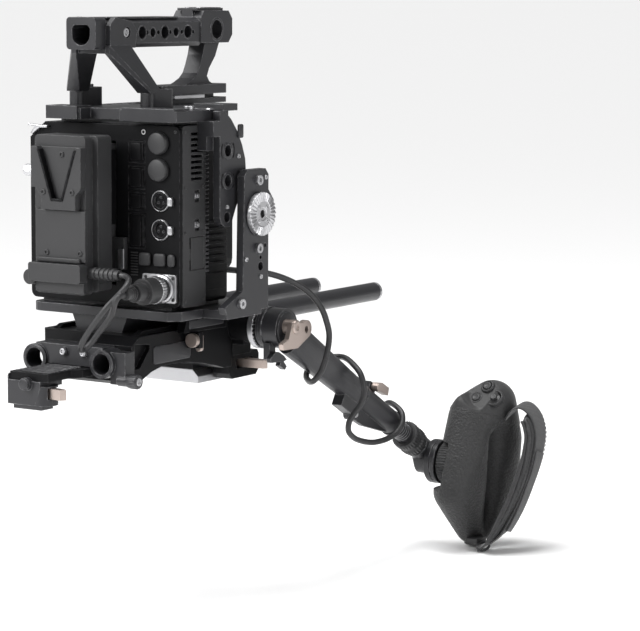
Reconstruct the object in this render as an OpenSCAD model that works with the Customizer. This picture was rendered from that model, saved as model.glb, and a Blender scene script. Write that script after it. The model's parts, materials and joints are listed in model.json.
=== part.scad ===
// Cinema camera rig: cage, shoulder baseplate, top handle and a side grip on a folding arm.
// Everything is laid out from a working datum at the centre of the rear rod clamp, and on_rig()
// moves it so that the origin is the middle of the tripod dovetail plate's bottom face.
// +Y is forwards (towards the lens), +X is the camera's right, +Z is up. Millimetres.

/* [Rods] */
// Diameter of the support rods
rod_d = 15; // [14:0.5:19]
// Distance between the two rods
rod_spacing = 60; // [56:1:66]
// How far the front rods reach ahead of the rear clamp
rod_reach = 374; // [260:1:460]
// Height of the front rods above the rear bores
rod_z = 17; // [15:0.5:19]

/* [Camera] */
// Left side of the camera body, from the rig's centre line
body_left = -64; // [-70:1:-58]
// Right side of the camera body's casing, from the rig's centre line
body_right = 66; // [64:1:68]
// Height of the body's underside above the datum
body_bottom = 38.5; // [38:0.5:40]
// Height of the body's top above the datum
body_top = 168; // [166:1:169]
// How far the body's rear panel stands ahead of the datum
body_rear = 40; // [39:1:41]
// How far the casing's front stands ahead of the datum
body_front = 105; // [100:1:110]
// Radius of the lens throat
throat_r = 27; // [24:0.5:30]

/* [Handle] */
// Width of the handle bar
handle_w = 24; // [20:1:28]
// Height of the handle bar's underside
handle_bottom = 222; // [220:1:224]
// Height of the handle bar's top
handle_top = 243; // [240:1:246]

/* [Arm and grip] */
// Angle of the arm below horizontal
arm_drop = 30; // [20:1:35]
// Diameter of the arm's middle tube
tube_d = 19; // [18.5:0.5:20]
// Diameter of the grip's lock wheel
wheel_d = 34; // [30:1:34]

/* [Hidden] */

// Where the tripod plate's bottom centre lies from the working datum
plate_y = 160;
plate_z = -30;
// Space between pieces that move on each other
gap = 0.3;
cut = 1; // how far a cutting shape runs past a face
black = [0.05, 0.05, 0.055];
charcoal = [0.12, 0.12, 0.13];
silver = [0.75, 0.75, 0.77];
titanium = [0.68, 0.6, 0.55];
rod_x = rod_spacing / 2;

// Placing and shaping helpers
module on_rig() translate([0, -plate_y, -plate_z]) children();
// A slab whose outline is drawn in (Y, Z) and that runs from x0 to x1
module slab_x(x0, x1) translate([x0, 0, 0]) rotate([90, 0, 90]) linear_extrude(x1 - x0) children();
// A slab whose outline is drawn in (X, Z) and that runs from y0 to y1
module slab_y(y0, y1) translate([0, y1, 0]) rotate([90, 0, 0]) linear_extrude(y1 - y0) children();
// A slab whose outline is drawn in (X, Y) and that runs from z0 to z1
module slab_z(z0, z1) translate([0, 0, z0]) linear_extrude(z1 - z0) children();
module box(low, high) translate(low) cube(high - low);
module bar_x(y, z, r, x0, x1) translate([x0, y, z]) rotate([0, 90, 0]) cylinder(h = x1 - x0, r = r, $fn = 48);
module bar_y(x, z, r, y0, y1) translate([x, y1, z]) rotate([90, 0, 0]) cylinder(h = y1 - y0, r = r, $fn = 48);
module bar_z(x, y, r, z0, z1) translate([x, y, z0]) cylinder(h = z1 - z0, r = r, $fn = 48);

// Points of a quarter arc about c, from angle a, in n steps
function arc(c, r, a, n = 4) = [for (i = [0:n]) c + r * [cos(a + 90 * i / n), sin(a + 90 * i / n)]];
// Outline of a rectangle with round corners
module round_rect(low, high, r) polygon(concat(
  arc([high[0] - r, high[1] - r], r, 0), arc([low[0] + r, high[1] - r], r, 90),
  arc([low[0] + r, low[1] + r], r, 180), arc([high[0] - r, low[1] + r], r, 270)));

// A tube swept along points: each ring stands square to the route there
function unit(v) = v / norm(v);
function heading(p, i) = unit(p[min(i + 1, len(p) - 1)] - p[max(i - 1, 0)]);
function side_of(d) = unit(cross(d, abs(d[2]) < 0.8 ? [0, 0, 1] : [1, 0, 0]));
function carry(p, i) = i == 0 ? side_of(heading(p, 0)) : let (d = heading(p, i), s = carry(p, i - 1))
  unit(s - d * (d * s));
function ring(c, d, s, r, n) =
  [for (k = [0:n - 1]) c + r * (cos(360 * k / n) * s + sin(360 * k / n) * cross(d, s))];
module tube(p, r, n = 8) {
  rings = [for (i = [0:len(p) - 1]) ring(p[i], heading(p, i), carry(p, i), r, n)];
  last = (len(p) - 1) * n;
  polyhedron(
    points = [for (q = rings) each q],
    faces = concat([[for (k = [n - 1:-1:0]) k]],
      [for (i = [0:len(p) - 2], k = [0:n - 1])
        [i * n + k, i * n + (k + 1) % n, (i + 1) * n + (k + 1) % n, (i + 1) * n + k]],
      [[for (k = [0:n - 1]) last + k]]),
    convexity = 8);
}

// ---- Camera ----
wall = 3;
side_skin = 4; // thickness of the vent panel and of the rear panel
lens_z = 102; // height of the optical axis above the datum
nose_front = 150;
vent_front = 72;
vent_slots = [129:4:161];
fan_y = 61;
fan_z = 147;
fan_shaft_r = 1.5;

// Outline of the body, seen from behind, with its top left corner cut off; inset moves it inwards
module body_outline(right, inset = 0) difference() {
  round_rect([body_left + inset, body_bottom + inset], [right - inset, body_top - inset], 5 - inset / 2);
  polygon([[body_left - 2, body_top - 13.3 - 1.3 * inset], [body_left - 2, body_top + 2],
    [body_left + 16.4 + 1.56 * inset, body_top + 2]]);
}

module camera_casing() color(black) on_rig() difference() {
  union() {
    difference() {
      slab_y(body_rear + side_skin, body_front) body_outline(body_right);
      slab_y(body_rear - cut, body_front - wall) body_outline(body_right, wall);
    }
    // shaft that the fan turns on
    bar_x(fan_y, fan_z, fan_shaft_r, 51.5, body_right - 1);
    slab_y(body_front - wall, nose_front) round_rect([-46, 54], [40, 150], 10);
    // cooling fins and a leather-covered rest on the right side, ahead of the vent panel
    for (z = [66:5:96]) box([body_right - 1, 78, z], [body_right + 2, 100, z + 2]);
    slab_x(body_right - 1, body_right + 1.6) round_rect([75, 48], [102, 60], 2);
  }
  // room for the sensor behind the lens throat
  box([-36, body_front, lens_z - 32], [36, nose_front - wall, lens_z + 32]);
  bar_y(0, lens_z, throat_r + 2, nose_front - wall - cut, nose_front + cut);
  for (x = [-26, 26], z = [-22, 22]) bar_y(x, lens_z + z, 2.5, body_front - wall - cut, body_front + cut);
  // air slots on both sides of the fan's shaft
  for (z = vent_slots, y = [54, 64.5])
    box([body_right - wall - cut, y, z], [body_right + cut, y + 3.5, z + 2]);
  // the power socket's cup, let into the right and bottom walls
  bar_y(dc_spot[0], dc_spot[1], dc_r + 1.3, body_rear, body_rear + 12.2);
}

// Doors in the connector field: [bottom, top] of each
door_x = [25.7, 39.7];
usb_z = [141.5, 156.5];
headphone_z = [122.5, 138.5];
mic_z = [107.5, 119.5];
hdmi_z = [80, 104.5];
door_t = 1.6;
cap_spots = [[50.4, 155.7], [50.4, 136.5]];
xlr_spots = [[53.8, 114.6], [53.8, 94]];
xlr_r = 7;
dc_spot = [56, 52];
dc_r = 8;
square_caps = [[35.5, 67.8, 45.5, 77.2], [48.4, 67.8, 58.6, 77.2], [60.5, 68, 66.5, 77]];
adapter_left = -28;
adapter_right = 22;

module rear_panel() color(black) on_rig() difference() {
  slab_y(body_rear, body_rear + side_skin - 0.2) body_outline(body_right + side_skin);
  // window that the battery adapter's neck passes through
  box([adapter_left + 5, body_rear - cut, 52], [14, body_rear + side_skin + cut, 156]);
  for (z = [usb_z, headphone_z, mic_z, hdmi_z])
    box([door_x[0] - 0.4, body_rear - cut, z[0] - 0.4],
      [door_x[1] + 0.4, body_rear + door_t + 0.4, z[1] + 0.4]);
  for (p = xlr_spots) bar_y(p[0], p[1], xlr_r, body_rear - cut, body_rear + side_skin + cut);
  bar_y(dc_spot[0], dc_spot[1], dc_r + 1.5, body_rear - cut, body_rear + side_skin + cut);
}

module vent_panel() color(charcoal) on_rig() difference() {
  slab_x(body_right, body_right + side_skin)
    round_rect([body_rear + side_skin, body_bottom], [vent_front, body_top], 2);
  // air slots
  for (z = vent_slots) box([body_right - cut, 54, z], [body_right + side_skin + cut, 68, z + 2]);
  // pocket for the network cover and the two switch slots
  box([body_right + 2, 52, 64.6], [body_right + side_skin + cut, 70.4, 88.4]);
  for (z = switch_z) box([body_right + 1.5, 58.6, z - 4.2], [body_right + side_skin + cut, 64.4, z + 4.2]);
}
switch_z = [96.8, 117.6];

knob_y = 16;
knob_z = 134;
knob_r = 2;
module battery_adapter() color(charcoal) on_rig() difference() {
  union() {
    slab_y(0, 8) round_rect([adapter_left, 48], [adapter_right - 5, 161], 3);
    slab_y(8, 24) round_rect([adapter_left - 2, 50], [adapter_right, 161], 3);
    slab_y(24, 44) round_rect([adapter_left + 6, 54], [13, 154], 3);
    // lower plate to the right of the battery neck
    box([8, 36, 64], [24, body_rear, 87]);
  }
  bar_x(knob_y, knob_z, knob_r + 0.05, adapter_left - 2 - cut, adapter_left + 8.4);
}

// Battery wedge pocket: an upright V, wide at the top
v_top = 151.5;
v_foot = 114.5;
v_centre = -4;
module v_mount_plate() color(charcoal) on_rig() union() {
  difference() {
    slab_y(-6, 0) polygon([[-27, 153], [17.5, 153], [17.5, 124], [12.5, 119], [12.5, 108.5], [-18, 108.5],
      [-18, 117], [-23, 124], [-27, 124]]);
    slab_y(-6 - cut, -1.5) polygon([[v_centre - 17.5, v_top + 2 * cut], [v_centre + 17.5, v_top + 2 * cut],
      [v_centre + 5, v_foot], [v_centre - 5, v_foot]]);
  }
  box([-26, -2.5, 72], [18.5, 0, 108]);
  // contact block with its ribbed shoulders
  slab_y(-9, 0) round_rect([-28, 57], [18.5, 70.5], 2);
  bar_y(-28.5, 59.5, 5.5, -7, 0);
  box([-25, -4, 49.5], [18, 0, 57]);
}

module terminal_caps() color(charcoal) on_rig() union() {
  for (p = cap_spots) bar_y(p[0], p[1], 7.6, body_rear - 5, body_rear - 0.01);
  for (s = square_caps) slab_y(body_rear - 1.6, body_rear - 0.01) round_rect([s[0], s[1]], [s[2], s[3]], 2);
}

module xlr_sockets() color(silver) on_rig() union() {
  for (p = xlr_spots) difference() {
    bar_y(p[0], p[1], xlr_r - 0.05, body_rear - 1.2, body_rear + 10);
    bar_y(p[0], p[1], 5, body_rear - 1.2 - cut, body_rear + 7);
    box([p[0] - 1, body_rear - 1.2 - cut, p[1] - xlr_r], [p[0] + 1, body_rear + 5, p[1] - 4]);
  }
  difference() {
    slab_y(body_rear - 2, body_rear - 0.01) round_rect([38.6, 42], [68, 62.4], 1.5);
    bar_y(dc_spot[0], dc_spot[1], dc_r, body_rear - 2 - cut, body_rear + cut);
  }
  difference() {
    bar_y(dc_spot[0], dc_spot[1], dc_r + 1.2, body_rear - 0.01, body_rear + 12);
    bar_y(dc_spot[0], dc_spot[1], dc_r, body_rear - cut, body_rear + 9);
  }
}

module dc_plug() color(charcoal) on_rig() union() {
  bar_y(dc_spot[0], dc_spot[1], dc_r - 0.1, 30, body_rear + 8);
  bar_y(dc_spot[0], dc_spot[1], 9.4, 14, 30);
  bar_y(dc_spot[0], dc_spot[1], 6.5, 4, 14);
  bar_y(dc_spot[0], dc_spot[1], 4, -6, 4);
}

// Cable from the battery plate to the plug: it drops behind the rig and turns back up
cable_r = 2.1;
power_route = [[44, 4, 64], [49, 4, 63.8], [54, 1, 61.5], [56, -6, 57], [54, -13, 51], [49, -18, 44],
  [43, -20, 36], [37, -21, 28], [31, -21, 20], [27, -19, 14.5], [24, -14.5, 11.5], [24.5, -9.5, 12.5],
  [28, -7, 17], [33, -7, 23], [39, -7.5, 29], [45, -9, 35.5], [50, -12, 41.5], [54, -15.5, 46.5],
  [56, -15, 50.5], [56, -11, 52], [56, -6, 52]];
module power_cable() color(black) on_rig() tube(power_route, cable_r, 8);

module strain_relief() color(black) on_rig() union() {
  bar_x(4, 64, 3.6, adapter_right - 5, 44);
  for (x = [22:4:40]) bar_x(4, 64, 4.4, x, x + 2);
}

module lens_mount() color(silver) on_rig() difference() {
  union() {
    bar_y(0, lens_z, 34, nose_front, nose_front + 5);
    bar_y(0, lens_z, 31, nose_front + 5, nose_front + 9);
  }
  bar_y(0, lens_z, throat_r, nose_front - cut, nose_front + 9 + cut);
}

board_y = 84;
sensor_y = 112;
module sensor_module() color(charcoal) on_rig() union() {
  box([-30, sensor_y, lens_z - 26], [30, sensor_y + 4, lens_z + 26]);
  box([-20, sensor_y + 4, lens_z - 12], [20, sensor_y + 8, lens_z + 12]);
  for (x = [-26, 26], z = [-22, 22]) bar_y(x, lens_z + z, 2.5, body_front, sensor_y);
}

module main_board() color("darkgreen") on_rig() union() {
  box([-58, board_y, 46], [58, board_y + 2, 158]);
  for (x = [-40, -10, 20], z = [60, 90, 120]) box([x, board_y + 2, z], [x + 14, board_y + 5, z + 12]);
  for (x = [-54, 54], z = [50, 154]) bar_y(x, z, 2.5, board_y + 2, body_front - wall);
}

module cooling_fan() color(black) on_rig() difference() {
  union() {
    bar_x(fan_y, fan_z, 5, 50, 58);
    for (a = [0:45:315]) translate([0, fan_y, fan_z]) rotate([a, 0, 0]) box([51, 4, -0.6], [57, 13, 0.6]);
  }
  bar_x(fan_y, fan_z, fan_shaft_r + 0.06, 50 - cut, 58 + cut);
}

module door(z) on_rig() union() {
  box([door_x[0], body_rear, z[0]], [door_x[1], body_rear + door_t, z[1]]);
  // finger lip along the opening edge
  box([door_x[1] - 2, body_rear - 0.8, z[0] + 2], [door_x[1] - 1, body_rear, z[1] - 2]);
}
module usb_door() color(black) door(usb_z);
module headphone_door() color(black) door(headphone_z);
module mic_door() color(black) door(mic_z);
module hdmi_door() color(black) door(hdmi_z);

module network_cover() color(charcoal) on_rig() union() {
  box([body_right + 2.3, 54, 65], [body_right + side_skin, 70, 88]);
  box([body_right + 2.3, 52.4, 72], [body_right + side_skin - 0.6, 54, 80]);
}

module audio_switch(z) color(silver) on_rig() union() {
  box([body_right + 1.8, 59, z - 2.2], [body_right + 3.4, 64, z + 2.2]);
  box([body_right + 3.4, 60.4, z - 1.2], [body_right + 5.2, 62.6, z + 1.2]);
}
module audio_switch_1() audio_switch(switch_z[0]);
module audio_switch_2() audio_switch(switch_z[1]);

module release_knob() color(titanium) on_rig() union() {
  bar_x(knob_y, knob_z, knob_r, -38 - cut, adapter_left + 4);
  bar_x(knob_y, knob_z, 4.2, -49, -38);
}

// ---- Cage ----
plate_low = 171;
plate_high = 179;
side_in = 78;
side_out = 84;
rosette_in = 87;
rosette_out = 93;
rosette_y = 106;
rosette_z = 103;

module cage_top_plate() color(charcoal) on_rig() difference() {
  union() {
    slab_z(plate_low, plate_high) polygon([[-40, 30], [-10, 30], [-10, 42], [26, 42], [26, 28], [76, 28],
      [76, 92], [40, 100], [34, 148], [-40, 148]]);
    // raised pads under the handle's rear feet, and a rail tab on the right
    box([-40, 28, plate_low], [-12, 46, plate_high + 1.5]);
    box([28, 28, plate_low], [74, 46, plate_high + 1.5]);
    box([58, 74, plate_high - 1], [side_out, 92, plate_high + 4]);
    box([-40, 46, body_top], [60, 100, plate_low + 0.01]);
  }
  // row of threaded holes along the left edge, and a slot beside the handle's foot
  for (y = [92:12:140]) bar_z(-32, y, 3.2, body_top - cut, plate_high + 3);
  slab_z(body_top - cut, plate_high + cut) round_rect([-24, 104], [-15, 138], 3);
}

module side_outline() polygon([[70, 102], [72, 97.5], [76, 95], [84, 95], [86, 100], [90, 108], [98, 120],
  [103, 134], [102, 143], [98, 153], [92, 163], [84, 172], [76, plate_high - 1], [70, plate_high - 1]]);
module cage_side_plate() color(charcoal) on_rig() difference() {
  union() {
    slab_x(side_in, side_out) side_outline();
    // foot that reaches in to the camera's right side
    box([body_right + side_skin, 62, 150], [side_in + 0.01, 70, 166]);
    box([body_right + side_skin, 62, 160], [side_out, 70.01, plate_low]);
  }
  for (z = [128, 149.5]) bar_x(80, z, 4.2, side_in - cut, side_out + cut);
  bar_x(79, 101.8, 3.8, side_in - cut, side_out + cut);
  bar_x(79, 109.2, 1.6, side_in - cut, side_out + cut);
  bar_x(93, 145, 1.6, side_in - cut, side_out + cut);
}

module rosette_plate() color(charcoal) on_rig() difference() {
  union() {
    slab_x(rosette_in, rosette_out) polygon([[92, 135.5], [88, 131], [86, 48], [63, 38], [66, 33], [119, 33],
      [119, 90], [126, 97], [126, 112], [119, 120], [119, 131], [115, 135.5]]);
    // spacers to the side plate and the camera tray
    bar_x(98, 127.5, 4.5, side_out, rosette_in + 0.01);
    box([72, 66, 29.5], [rosette_out, 110, 36]);
  }
  bar_x(rosette_y, rosette_z, 3, rosette_in - cut, rosette_out + cut);
  for (p = [[115, 129], [115, 79.5], [124, 111], [124, 98], [90, 71], [109, 71], [109, 57]])
    bar_x(p[0], p[1], 1.5, rosette_in - cut, rosette_out + cut);
  bar_x(109, 64.5, 3.2, rosette_in - cut, rosette_out + cut);
}

// Toothed discs: one on the cage and one that carries the arm
hub_y = 150;
hub_z = 14;
boss_r = 13; // of the boss that carries the arm's rosette
ring_r = 15.9;
module rosette(y, z, x) difference() {
  union() {
    bar_x(y, z, ring_r, x, x + 4.5);
    for (a = [0:15:345]) translate([x, y, z]) rotate([a, 0, 0])
      box([4.4, 10, -0.7], [5.6, ring_r - 0.3, 0.7]);
  }
  bar_x(y, z, 3, x - cut, x + 6 + cut);
}
module rosettes() color(silver) on_rig() union() {
  rosette(rosette_y, rosette_z, rosette_out);
  rosette(hub_y, hub_z, 64);
}

module cap_screw_x(y, z, x) difference() {
  bar_x(y, z, 3.6, x, x + 2.6);
  translate([x + 1, y, z]) rotate([0, 90, 0]) cylinder(h = 3, r = 1.8, $fn = 6);
}
module cage_bolts() color(silver) on_rig() union() {
  for (p = [[105, 127.5], [105, 78], [83, 39.5]]) cap_screw_x(p[0], p[1], rosette_out);
  translate([64, 60, plate_high]) difference() {
    cylinder(h = 2.6, r = 4, $fn = 48);
    translate([0, 0, 1]) cylinder(h = 3, r = 2, $fn = 6);
  }
}

module camera_tray() color(charcoal) on_rig() union() {
  slab_z(29.5, 36) polygon(concat([[72, 40], [72, 110], [40, 140], [-60, 140]],
    arc([-50, 43], 10, 180), [[64, 33]]));
  box([-56, 44, 36], [60, 103, body_bottom]);
}

module riser_plate() color(charcoal) on_rig()
  slab_y(38, 132) polygon([[-25, 29.5], [25, 29.5], [20, 17.7], [-20, 17.7]]);

// ---- Shoulder baseplate ----
base_half = 45;
base_top = 17.7;
base_front = 142;
seat_rear = 128; // where the tripod plate and its seat begin
module baseplate_body() color(black) on_rig() difference() {
  union() {
    slab_x(-base_half, base_half) polygon([[16.3, 12], [16.3, -14], [22, -17], [30, -13], [40, -9],
      [52, -6.5],
      [66, -6], [84, -7], [104, -10], [122, -14], [132, -17], [base_front, -17], [base_front, base_top],
      [26, base_top]]);
    // side walls that hold the riser plate's rails
    for (s = [-1, 1]) slab_x(s * 36 - 2.5, s * 36 + 2.5) polygon([[30, base_top - 1], [40, 20.5], [136, 20.5],
      [136, base_top - 1]]);
    // cover block over the lock on the right side, and the lug that holds its lever
    slab_x(base_half - cut, 51) polygon([[72, 16], [76, 26], [126, 27], [126, 15]]);
    box([base_half - cut, 82.6, 4], [57, 87.4, 15.5]);
    // seat of the tripod plate
    box([-19, seat_rear, -20], [19, base_front, -13]);
  }
  // chamfered rear left corner, side pockets and the lever's bore
  slab_z(-20, 30) polygon([[-50, 10], [-33, 10], [-33, 16.3], [-base_half, 31], [-50, 31]]);
  slab_x(base_half - 4, base_half + cut) polygon([[20, 13], [38, 11], [38, 8], [26, -5], [20, -5]]);
  slab_x(-base_half - cut, -base_half + 4) polygon([[34, 12], [42, 11], [42, 8], [38, -3], [34, -3]]);
  bar_y(base_pivot[0], base_pivot[2], 2.45, 82, 88);
  bar_x(hub_y, hub_z, boss_r + 0.05, 39.9, base_half + cut);
}

module rear_rod_clamp() color(charcoal) on_rig() difference() {
  union() {
    for (s = [-1, 1]) bar_y(s * rod_x, 0, 10.4, 0, 16);
    box([-rod_x, 2, -3], [rod_x, 16, 11.5]);
    box([rod_x + 6, 3, -14], [rod_x + 19, 14, 9]);
    bar_x(6, -11, 4.2, rod_x + 12, rod_x + 29);
    for (x = [-4, 14]) bar_y(x, 6.5, 3.2, 0, 4);
  }
  for (s = [-1, 1]) bar_y(s * rod_x, 0, rod_d / 2, -cut, 17);
  translate([rod_x + 26, 6, -11]) rotate([0, 90, 0]) cylinder(h = 5, r = 2, $fn = 6);
}

clamp_front = 192;
spigot_r = 6; // each rod screws into the front clamp by a thinner end
module rods() color(black) on_rig() for (s = [-1, 1]) union() {
  bar_y(s * rod_x, rod_z, spigot_r, 152, clamp_front + 1);
  bar_y(s * rod_x, rod_z, rod_d / 2, clamp_front + 1, rod_reach - 1);
  bar_y(s * rod_x, rod_z, rod_d / 2 - 1, rod_reach - 1, rod_reach);
}

clamp_top = -9; // underside of the block that the front clamp hangs from
module front_rod_clamp() color(black) on_rig() difference() {
  union() {
    slab_y(base_front, clamp_front) polygon([[-42, 3], [-42, 22], [-36, 28], [36, 28], [42, 22], [42, 3]]);
    box([-30, base_front, -17], [24, 166, 3.01]);
    box([23.99, base_front, clamp_top], [46, 166, 3.01]);
    box([-19, base_front, -20], [19, 166, -16.99]);
    // boss that carries the arm's rosette
    bar_x(hub_y, hub_z, boss_r, 40, 64);
    box([40, base_front, 0], [56, 160, 26]);
  }
  for (s = [-1, 1]) bar_y(s * rod_x, rod_z, spigot_r, 152, clamp_front + 1);
  bar_x(hub_y, hub_z, 3, 52, 65);
}

module dovetail_plate() color(silver) on_rig() difference() {
  slab_y(seat_rear, 202) polygon([[-24, -30], [24, -30], [24, -25], [19, -20], [-19, -20], [-24, -25]]);
  bar_z(0, plate_y, 4.76, -30 - cut, -19);
  for (y = [-24, 24]) bar_z(0, plate_y + y, 3.18, -30 - cut, -19);
}

module tail_bar() color(black) on_rig() difference() {
  slab_z(-9.5, -3.7) polygon([[-20, -40], [14, -40], [14, -14], [20, -8], [20, 16.3], [-20, 16.3]]);
  for (y = [-30, -15]) bar_z(0, y, 3.2, -10, -3);
}

// Clamp head at the tail: a block with a round post at its right that holds the locking lever
tail_pivot = [4.3, -31.5];
tail_r = 9.5;
lever_pin_r = 1.5; // pins of the tail's and the front clamp's levers
module tail_clamp() color(charcoal) on_rig() difference() {
  union() {
    slab_y(-41, -16) polygon([[-21.5, -27], [-21.5, -7], [-20.5, -5.2], [-20.5, -9.6], [7.5, -9.6],
      [7.5, -14], [2.5, -27]]);
    bar_z(tail_pivot[0], tail_pivot[1], tail_r, -27, -13);
    box([-17, -40, -30], [8, -27, -26.99]);
    bar_y(-4, -11.6, 4.6, -44, -41 + cut);
  }
  // slot for the lever
  box([tail_pivot[0] - 4, -37.5, -22.3], [24, -15, -14.2]);
  bar_z(tail_pivot[0], tail_pivot[1], lever_pin_r + 0.05, -25.2, -10.6);
}
module tail_lever() color(titanium) on_rig() union() {
  bar_z(tail_pivot[0], tail_pivot[1], lever_pin_r, -25, -11);
  bar_z(tail_pivot[0], tail_pivot[1], 3, -22, -14.5);
  slab_z(-22, -14.5) polygon([[4.3, -34.5], [22, -37], [24.5, -33], [20, -31], [5.3, -28.5]]);
}

front_pivot = [36.5, 167];
module front_clamp() color(black) on_rig() difference() {
  slab_x(25, 40) polygon([[150, -28], [146, -24], [144, clamp_top], [184, clamp_top], [186, -12], [186, -24],
    [182, -28]]);
  box([32, 156, -20.8], [42, 178, -13.7]);
  bar_z(front_pivot[0], front_pivot[1], lever_pin_r + 0.05, -25.2, -9.5);
}
module front_lever() color(titanium) on_rig() union() {
  bar_z(front_pivot[0], front_pivot[1], lever_pin_r, -25, -10);
  bar_z(front_pivot[0], front_pivot[1], 3.5, -20.5, -14);
  slab_z(-20.5, -14) polygon([[37, 163.6], [58, 164.8], [60, 168], [58, 171.2], [37, 170.4]]);
}

base_pivot = [52.5, 86, 10];
module base_lever() color(titanium) on_rig() union() {
  bar_y(base_pivot[0], base_pivot[2], 5.2, 78.6, 82.3);
  bar_y(base_pivot[0], base_pivot[2], 2.4, 82, 91);
  slab_y(87.7, 91) round_rect([base_pivot[0] - 2.4, base_pivot[2] - 9],
    [base_pivot[0] + 2.4, base_pivot[2] + 4], 2.2);
}

// ---- Top handle ----
handle_half = handle_w / 2;
handle_rear = 18;
handle_front = 189;
module handle_bar() color(charcoal) on_rig() difference() {
  union() {
    // square end block at the rear, eight-sided block at the front, and the bar between them
    slab_y(handle_rear, handle_rear + 12) round_rect([-13, handle_bottom - 1], [13, handle_top + 1], 3);
    slab_y(handle_rear + 12, 150) polygon([[-handle_half, handle_bottom + 3], [-handle_half, handle_top - 3],
      [-handle_half + 4, handle_top], [handle_half - 4, handle_top], [handle_half, handle_top - 3],
      [handle_half, handle_bottom + 3], [handle_half - 3, handle_bottom], [-handle_half + 3, handle_bottom]]);
    slab_x(-handle_half - 1, handle_half + 1) polygon([[148, 224], [148, 243], [152, 248], [184, 248],
      [189, 242], [189, 230], [184, 224]]);
    slab_z(248, 250) polygon([[-9, 148], [9, 148], [9, 182], [-9, 182]]);
    slab_z(handle_top, 250) polygon([[-5, 148], [5, 148], [5, 160], [-5, 160]]);
  }
  // hollow at the rear, side holes along the bar and the front eye
  slab_y(handle_rear - cut, 62) polygon(concat(
    [[8, 232], [8, 236], [6, 238.5], [-6, 238.5], [-8, 236], [-8, 232]],
    [for (a = [180:20:360]) [8 * cos(a), 232 + 8 * sin(a)]]));
  for (y = [75, 103, 132]) bar_x(y, 232.5, 4.6, -20, 20);
  for (y = [88, 117]) bar_x(y, 232.5, 3.2, -20, 20);
  for (y = [68, 81.5, 95, 110, 124.5, 139]) bar_x(y, 232.5, 1.6, -20, 20);
  bar_x(168.5, 234, 7, -20, 20);
}

foot_top = plate_high; // top of the plate that the handle stands on
// Each leg runs from the bar's side down and outwards to its foot
module rear_leg(s) {
  hull() {
    box([s > 0 ? 13.01 : -17, 29, handle_bottom - 4], [s > 0 ? 17 : -13.01, 54, handle_bottom + 2]);
    box([s > 0 ? 26 : -38, 50, foot_top + 11], [s > 0 ? 38 : -26, 61, foot_top + 13.5]);
  }
  // cheek that hugs the bar, and the foot
  slab_x(s > 0 ? 13.01 : -17, s > 0 ? 17 : -13.01)
    polygon([[30, handle_bottom], [30, 238], [36, handle_top + 1],
    [56, handle_top - 2], [62, 234], [60, handle_bottom]]);
  slab_z(foot_top, foot_top + 13.5) round_rect([s > 0 ? 26 : -38, 50], [s > 0 ? 38 : -26, 80], 5);
}
module handle_rear_leg() color(charcoal) on_rig() difference() {
  union() {
    for (s = [-1, 1]) rear_leg(s);
    // bridge under the bar
    box([-14, 32, handle_bottom - 4], [14, 46, handle_bottom - 0.01]);
  }
  for (s = [-1, 1]) bar_x(50, 233, 4, s > 0 ? 15 : -18, s > 0 ? 18 : -15);
}

leg_half = 7;
handle_pivot = [8.5, 150];
pin_r = 2;
module handle_front_leg() color(charcoal) on_rig() difference() {
  union() {
    // swept leg, drawn in (Y, Z)
    slab_x(-leg_half, leg_half) polygon([[161, handle_bottom + 2], [180, handle_bottom + 2], [175, 214],
      [167, 205],
      [164, 199], [167, 195], [174, 192], [132, 192], [140, 194.5], [147, 197.5], [152, 201.5], [155, 207],
      [158.5, 215]]);
    // base rail in two layers, with a slot on its right for the locking lever
    slab_z(186, 193) round_rect([-handle_half, 104], [handle_half, 186], 5);
    slab_z(plate_high, 183) round_rect([-handle_half, 104], [handle_half, 185], 4);
    slab_z(182.5, 186.5) round_rect([-11, 106], [2, 182], 3);
  }
  bar_z(handle_pivot[0], handle_pivot[1], pin_r + 0.05, 180.5, 188.5);
}
module handle_lever() color(silver) on_rig() union() {
  bar_z(handle_pivot[0], handle_pivot[1], pin_r, 181, 188);
  slab_z(183.3, 185.7) polygon([[5, 154], [4.6, 147], [9, 113], [14.5, 112], [16, 118], [12.5, 153]]);
}

// ---- Arm ----
arm_x = 83;
outer_end = 128; // end of the arm's wide part, from the hub
middle_end = 191;
slide_r = 7.5;
slide_start = 120;
tube_pivot = [144, 13]; // pin of the tube's lever: along the arm and above its axis
// Children are drawn along +Y from the hub and turned down to the arm's angle
module along_arm() translate([arm_x, hub_y, hub_z]) rotate([-arm_drop, 0, 0]) children();

module hub_disc() color(black) on_rig() difference() {
  union() {
    bar_x(hub_y, hub_z, 15, 70.3, 89);
    bar_x(hub_y, hub_z, 15.7, 73, 76);
    box([77, 137, -8.5], [82.7, 144.5, 4]);
  }
  bar_x(hub_y, hub_z, 3.2, 69, 90);
  bar_x(ratchet_pivot[0], ratchet_pivot[1], pin_r + 0.05, 76, 83);
}

// The wing lever and its clamping stud turn together
module hub_lever() color(titanium) on_rig() difference() {
  union() {
    bar_x(hub_y, hub_z, 3.12, 71, 90);
    bar_x(hub_y - 2, hub_z + 2, 5.5, 89.3, 99);
    slab_x(95, 99) polygon(concat([[hub_y - 7, hub_z + 6], [hub_y - 12, hub_z - 6], [hub_y - 20, hub_z - 9],
      [hub_y - 19, hub_z - 13.5], [hub_y, hub_z - 14]],
      [for (a = [-50:20:130]) [hub_y + 12 + 7 * cos(a), hub_z - 1 + 7 * sin(a)]]));
  }
  bar_x(hub_y + 12, hub_z - 1, 2.6, 94, 100);
}

ratchet_pivot = [141, -4.8];
module ratchet_lever() color(black) on_rig() union() {
  bar_x(ratchet_pivot[0], ratchet_pivot[1], pin_r, 77, 84);
  slab_x(83, 87) polygon([[138, -2.6], [131.5, -7], [133, -10], [145.5, -10.5], [144, -13.5], [151, -17.2],
    [153.5, -15], [149.5, -10.8], [153.5, -9.8], [150, -6.6], [143, -3]]);
}

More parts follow.
